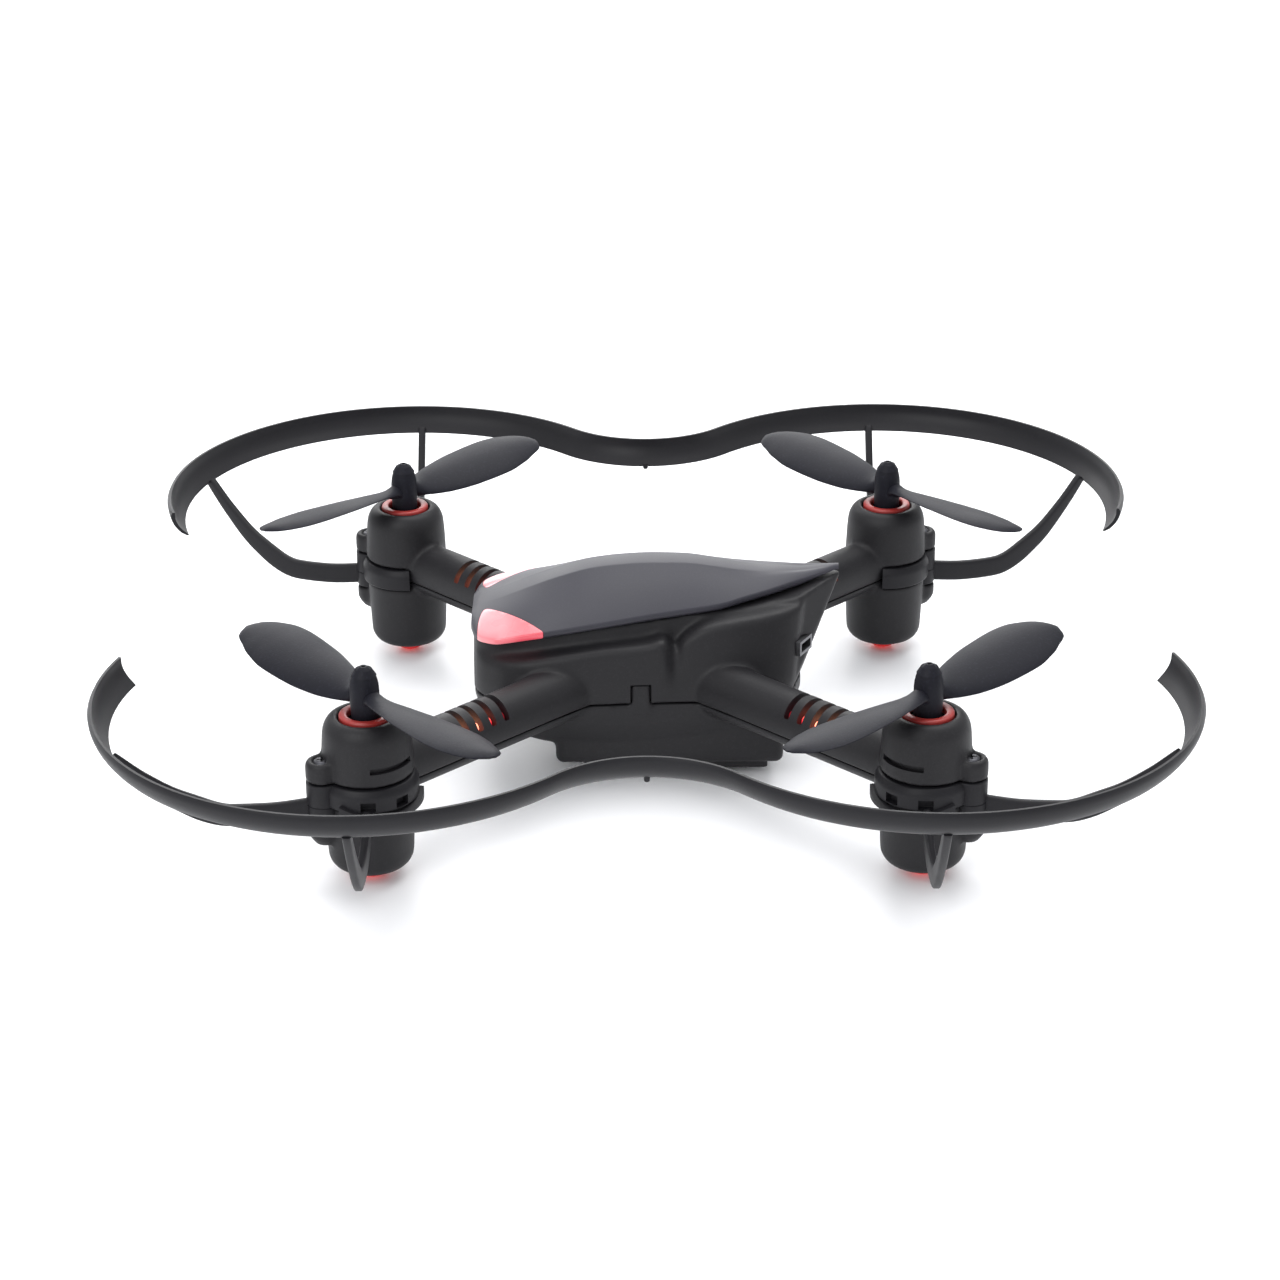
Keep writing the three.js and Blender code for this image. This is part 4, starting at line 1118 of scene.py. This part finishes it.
def tab(sign, grow):
    low = (TAB_X - TAB_HALF - grow, sign * (TAB_OUTSIDE - 1.4 - grow), SEAM_LOW_Z - 2)
    high = (TAB_X + TAB_HALF + grow, sign * (TAB_OUTSIDE + 3 * grow), TAB_HIGH_Z + grow)
    ordered = [tuple(pick(pair) for pair in zip(low, high)) for pick in (min, max)]
    return block(*ordered, 0.25 if grow == 0 else 0.05)


def port_room():
    oval = turned([(0, -3.2), (1.0, -3.2), (1.0, 4.0), (0, 4.0)], 32)
    turn = Matrix.Rotation(-PORT_TURN, 4, "Z") @ Matrix.Rotation(math.pi / 2, 4, "Y")
    return shifted(moved(oval, turn @ Matrix.Diagonal((1.9, 2.9, 1, 1))), *PORT_PLACE)


# %% [markdown]
# Melting is a voxel remesh: it samples the overlapping shapes on a fine grid and wraps one skin
# round them all. A few rounds of smoothing then relax the grid's steps and round the inner corners,
# which is just what a mould's fillets look like.

# %% Build the upper hull
HULL_VOXEL = 0.47
HULL_SMOOTHING = 4

upper_shapes = [hull_loft(UPPER_ROWS, upper_ring), fin()]
carvings = [tab(-1, 0.25), tab(1, 0.25), port_room()]
for corner in CORNERS:
    upper_shapes.append(at_corner(half_arm(SEAM_HIGH_Z, True), corner))
    upper_shapes += [at_motor(shape, corner) for shape in (pod_top(), boss_top(), boss_web())]
    carvings += [at_corner(moved(slot, TO_DIAGONAL), corner) for slot in vent_slots()]
    carvings.append(at_motor(pod_slot(), corner))
upper_hull = carved(fused("upper_hull_skin", upper_shapes, HULL_VOXEL, HULL_SMOOTHING), carvings)
finished(upper_hull, PLASTICS["hull"], "airframe", ["upper_hull"], 60)

# %% [markdown]
# The lower hull is the same idea upside down, with the flat-bottomed belly added. The belly is
# hollow: behind the door is the battery bay, which shows when the door hangs open.

# %% Build the lower hull
BELLY_LOW = (-18, -15.5, 4.5)
BELLY_HIGH = (27, 15.5, 14)
BAY_LOW = (-12.5, -12.6, 6.5)
BAY_HIGH = (24, 12.6, 15.6)
DOOR_LOW, DOOR_HIGH = node_box("battery_door")
BUTTON_MIDDLE = middle_of("power_button")
PIN_MIDDLE = middle_of("door_hinge_pin")
DOOR_GAP = 0.3


def door_room():
    low = Vector((DOOR_LOW.x - 0.3, DOOR_LOW.y - DOOR_GAP, BELLY_LOW[2] - 1))
    high = Vector((DOOR_HIGH.x + DOOR_GAP, DOOR_HIGH.y + DOOR_GAP, BAY_LOW[2] + 0.3))
    return block(low, high)


def button_hole():
    return shifted(turned([(0, 2), (2.15, 2), (2.15, 9), (0, 9)], 40), BUTTON_MIDDLE.x)


def screw_well():
    return shifted(turned([(0, 5), (1.8, 5), (1.8, 12.1), (0, 12.1)], 32), middle_of("hull_screw").x)


belly = cut(block(BELLY_LOW, BELLY_HIGH, 1.4, 4), [door_room(), button_hole(), block(BAY_LOW, BAY_HIGH)])
lower_body = cut(hull_loft(LOWER_ROWS, lower_ring), [block((*BAY_LOW[:2], 2), BAY_HIGH), screw_well()])
lower_shapes = [lower_body, belly, tab(-1, 0), tab(1, 0)]
for corner in CORNERS:
    lower_shapes.append(at_corner(half_arm(SEAM_LOW_Z, False), corner))
    lower_shapes += [at_motor(shape, corner) for shape in (can(), boss_foot())]
lower_hull = fused("lower_hull_skin", lower_shapes, HULL_VOXEL, HULL_SMOOTHING)
finished(lower_hull, PLASTICS["hull"], "airframe", ["lower_hull"], 60)

# %% [markdown]
# ## The canopy and its eyes
#
# The canopy is a spear-shaped lid: a narrow flat spine with two sloping panels, a thin lip all
# round and a long pointed tail. It is one row of sections, dense enough to need no subdivision, so
# the creases along the spine stay crisp. Each lit window is the piece of that same shape inside a
# teardrop, so window and canopy share one surface with a hairline gap between them.

# %% Canopy shape
# Rows: x, the spine's half width and height, and the edge's half width and height.
CANOPY_ROWS = [
    (-34.4, 1.9, 32.5, 7.6, 31.6), (-33.6, 2.2, 33.1, 11.8, 31.7), (-32, 2.5, 33.9, 14.6, 31.9),
    (-28.5, 2.7, 35.2, 16.6, 32.3), (-22, 2.8, 37.8, 16.7, 33.3), (-17, 2.8, 39.6, 16.3, 33.9),
    (-11, 2.8, 41.3, 15.7, 34.7), (-5, 2.8, 42.1, 14.9, 35.4), (1, 2.8, 42.4, 13.8, 36.0),
    (7, 2.7, 42.3, 12.7, 36.5), (14.5, 2.4, 41.3, 11.0, 37.0), (19, 2.1, 40.5, 9.3, 37.7),
    (24.5, 1.7, 40.0, 6.9, 38.4), (30, 1.2, 40.0, 4.1, 39.1), (35, 0.8, 40.5, 2.0, 39.9),
    (38, 0.35, 40.9, 0.9, 40.3),
]
CANOPY_LIP = 1.5
PANEL_CROWN = 0.55
FINE_BELOW = 4.0                # where the canopy's half width is less, its small roundings shrink with it


def canopy_ring(row):
    x, spine, spine_z, edge, edge_z = row
    fine = min(1.0, edge / FINE_BELOW)
    middle = ((spine + edge) / 2, (spine_z + edge_z) / 2 + PANEL_CROWN * fine)
    low = edge_z - CANOPY_LIP * fine
    half = rounded([
        (0, low), (edge - 0.8 * fine, low, 0.15 * fine), (edge, low + 0.5 * fine, 0.3 * fine),
        (edge, edge_z, 0.35 * fine), (*middle, (edge - spine) * 0.28), (spine, spine_z, 0.3 * fine),
        (0, spine_z + 0.12 * fine),
    ])
    return [Vector((x, y, z)) for y, z in both_sides(half)]


def canopy_shape():
    return loft([canopy_ring(row) for row in smooth_row(CANOPY_ROWS, 110)])


# %% Windows
# The window's outline in plan at +Y, as [x, y, corner radius], and the outline's own middle.
EYE_OUTLINE = [(-31.9, 4.9, 1.6), (-19.9, 16.4, 0.5), (-20.4, 20), (-32.9, 20), (-32.9, 9.0, 2.5)]
EYE_MIDDLE = Vector((-28, 13.5))


def eye_prism(sign, grow):
    """A tall prism over the window's outline."""
    corners = [(-25.9, 10.65)] + EYE_OUTLINE[1:] + EYE_OUTLINE[:1] + [(-25.9, 10.65)]
    plan = [Vector(point) for point in rounded(corners)][:-1]
    grown = [point + (point - EYE_MIDDLE).normalized() * grow for point in plan]
    prism = loft([[Vector((point.x, point.y, z)) for point in grown] for z in (22, 44)])
    return moved(prism, Matrix.Diagonal((1, sign, 1, 1)))


canopy = drafted("canopy_skin", cut(canopy_shape(), [eye_prism(-1, 0.12), eye_prism(1, 0.12)]))
finished(canopy, PLASTICS["canopy"], "airframe", ["canopy"], 32)
for side, sign in {"left": -1, "right": 1}.items():
    lens = combined(drafted(f"eye_lens_{side}", canopy_shape()), eye_prism(sign, 0), "INTERSECT")
    edge = lens.modifiers.new("edge", "BEVEL")
    edge.width, edge.segments, edge.limit_method = 0.2, 3, "ANGLE"
    finished(settled(lens), REDS["eye"], "airframe", [f"eye_window_{side}"], 50)

# %% [markdown]
# ## Rings, feet and screws
#
# These are small turned pieces. The ring is a rounded washer that lines the hub's hole, the foot a
# dome with a stem, and the screw a pan head with a cross recess, cut by two thin blades.

# %% Build the rings, feet and screws


def ring_piece():
    """The ring's outline turned all the way round and closed on itself."""
    bm = bmesh.new()
    low, high = 31.9, 33.4
    corners = [
        (3.4, low + 0.8), (3.4, high, 0.55), (4.95, high, 0.55),
        (4.95, low, 0.2), (3.4, low, 0.2), (3.4, low + 0.8),
    ]
    drawn = outline(bm, [(r, 0, z) for r, z in rounded(corners)[:-1]], closed=True)
    bmesh.ops.spin(bm, geom=drawn, cent=(0, 0, 0), axis=(0, 0, 1), angle=math.tau, steps=72, use_merge=True)
    return tidied(bm)


def foot_shape():
    return turned([
        (0, 0.0), (1.4, 0.0, 0.6), (2.6, 0.7, 0.6), (3.3, 2.1, 0.5), (3.3, 2.8, 0.2), (1.9, 2.8, 0.1),
        (1.9, 6.2, 0.2), (0, 6.2),
    ], 48)


def screw_shape():
    low, high = node_box("guard_screw_rear_right")
    head_z = high.z - 1.2
    head = turned([
        (0, low.z), (0.5, low.z, 0.1), (0.8, low.z + 1.2, 0.2), (0.8, head_z, 0.05), (1.7, head_z, 0.1),
        (1.7, high.z - 0.35, 0.4), (1.1, high.z, 0.3), (0, high.z),
    ], 36)
    low_z, high_z = high.z - 0.6, high.z + 1
    blades = [
        block((-1.0, -0.18, low_z), (1.0, 0.18, high_z)),
        block((-0.18, -1.0, low_z), (0.18, 1.0, high_z)),
    ]
    return shifted(cut(head, blades), *BOSS_PLACE)


for corner in CORNERS:
    ring = drafted(f"trim_ring_skin_{corner}", at_motor(ring_piece(), corner))
    finished(ring, REDS["ring"], "airframe", [f"trim_ring_{corner}"], 50)
    foot = drafted(f"foot_skin_{corner}", at_motor(foot_shape(), corner))
    finished(foot, REDS["foot"], "airframe", [f"foot_{corner}"], 50)
    screw = drafted(f"guard_screw_skin_{corner}", at_motor(screw_shape(), corner))
    finished(screw, INNER["screw"], "airframe", [f"guard_screw_{corner}"], 40)

# %% [markdown]
# ## The lights in the arms
#
# Behind the vents a strip of circuit board carries two small lamps under a clear red bar. Only the
# bar shows, so it carries the glow, and the board lies under it.

# %% Build the light bars
BAR_LOW = (39.7, -3.0, 20.4)
BAR_HIGH = (54.7, 3.0, 23.4)

for corner in CORNERS:
    bar = at_corner(moved(block(BAR_LOW, BAR_HIGH, 0.9, 4), TO_DIAGONAL), corner)
    finished(drafted(f"light_bar_{corner}", bar), REDS["glow"], "airframe")

# %% [markdown]
# ## The belly door and the button
#
# The door is a thin plate with rounded edges, a row of grip ridges near its free end and a hollow
# barrel along its hinged edge. The button is a small rubber dome with a dished top.

# %% Build the door and the button
BARREL_RADIUS = 1.0
BARREL_BORE = 0.7


def door_shape():
    plate = block((PIN_MIDDLE.x, DOOR_LOW.y, DOOR_LOW.z), (DOOR_HIGH.x, DOOR_HIGH.y, DOOR_LOW.z + 1.4), 0.3)
    below, depth = DOOR_LOW.z - 1, DOOR_LOW.z + 0.4
    grooves = [block((x - 0.35, -6, below), (x + 0.35, 6, depth), 0.1) for x in (13.5, 15, 16.5)]
    start, end = DOOR_LOW.y, DOOR_HIGH.y
    barrel = turned([(0, start), (BARREL_RADIUS, start, 0.15), (BARREL_RADIUS, end, 0.15), (0, end)], 32)
    bore = turned([(0, start - 1), (BARREL_BORE, start - 1), (BARREL_BORE, end + 1), (0, end + 1)], 32)
    lie = Matrix.Translation((PIN_MIDDLE.x, 0, PIN_MIDDLE.z)) @ Matrix.Rotation(-math.pi / 2, 4, "X")
    draft = combined(drafted("door", cut(plate, grooves)), moved(barrel, lie), "UNION")
    return shape_of(combined(draft, moved(bore, lie), "DIFFERENCE"))


door_skin = drafted("battery_door_skin", door_shape())
finished(door_skin, PLASTICS["hull"], "battery_door", ["battery_door"], 40)
button_low, button_high = node_box("power_button")
button = shifted(turned([
    (0, button_low.z + 0.25), (1.0, button_low.z + 0.1, 0.4), (1.35, button_low.z, 0.2),
    (1.8, button_low.z, 0.25), (1.8, 6.1, 0.05), (2.4, 6.1, 0.05), (2.4, button_high.z, 0.05),
    (0, button_high.z),
], 40), BUTTON_MIDDLE.x)
button_skin = drafted("power_button_skin", button)
finished(button_skin, PLASTICS["button"], "power_button", ["power_button"], 50)

# %% [markdown]
# ## Solids that stay as they are
#
# The motors, shafts, boards, battery, pin and port are plain engineering shapes that are already
# right. They only need their finishes, which go into the solids' own material slots.

# %% Give the kept solids their finishes
KEPT = {
    "main_board": "board", "battery": "wrap", "door_hinge_pin": "steel", "charge_socket": "shell",
    "hull_screw": "screw",
}
for corner in CORNERS:
    KEPT[f"motor_{corner}"] = "can"
    KEPT[f"motor_shaft_{corner}"] = "steel"
    KEPT[f"arm_light_{corner}"] = "board"
for node, finish_name in KEPT.items():
    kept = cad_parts[node]
    kept.data.materials.clear()
    kept.data.materials.append(INNER[finish_name])
print(len(KEPT), "solids keep their shape")

# %% [markdown]
# ## The table
#
# The floor is a wide white sheet with a soft gloss, so the aircraft has a pale mirror image and a
# faint contact shadow under each foot.

# %% Lay the floor


def table_top():
    finish = Finish("table top", Specular_IOR_Level=0.35)
    cloud = finish.noise(300, detail=1)
    finish.set("Base Color", finish.mixed(cloud, (0.93, 0.94, 0.96), (0.97, 0.97, 0.98)))
    finish.set("Roughness", cloud * 0.05 + 0.42)
    return finish.material


floor_bm = bmesh.new()
bmesh.ops.create_grid(floor_bm, x_segments=2, y_segments=2, size=4000)
floor = drafted("table_top", floor_bm)
floor.data.transform(Matrix.Scale(MM, 4))
floor.data.materials.append(table_top())
floor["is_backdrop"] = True

# %% [markdown]
# ## The sizes
#
# The box round the finished skins is measured, and each corner's distance from the mechanical
# model's box is printed in millimetres. The finished skins have to fit in the mechanical
# model's box.

# %% Compare the sizes and finish
skin_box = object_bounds()
for name, one, other in (("low", cad_box[0], skin_box[0]), ("high", cad_box[1], skin_box[1])):
    print(name, [round((b - a) / MM, 2) for a, b in zip(one, other)], "mm from the mechanical box")
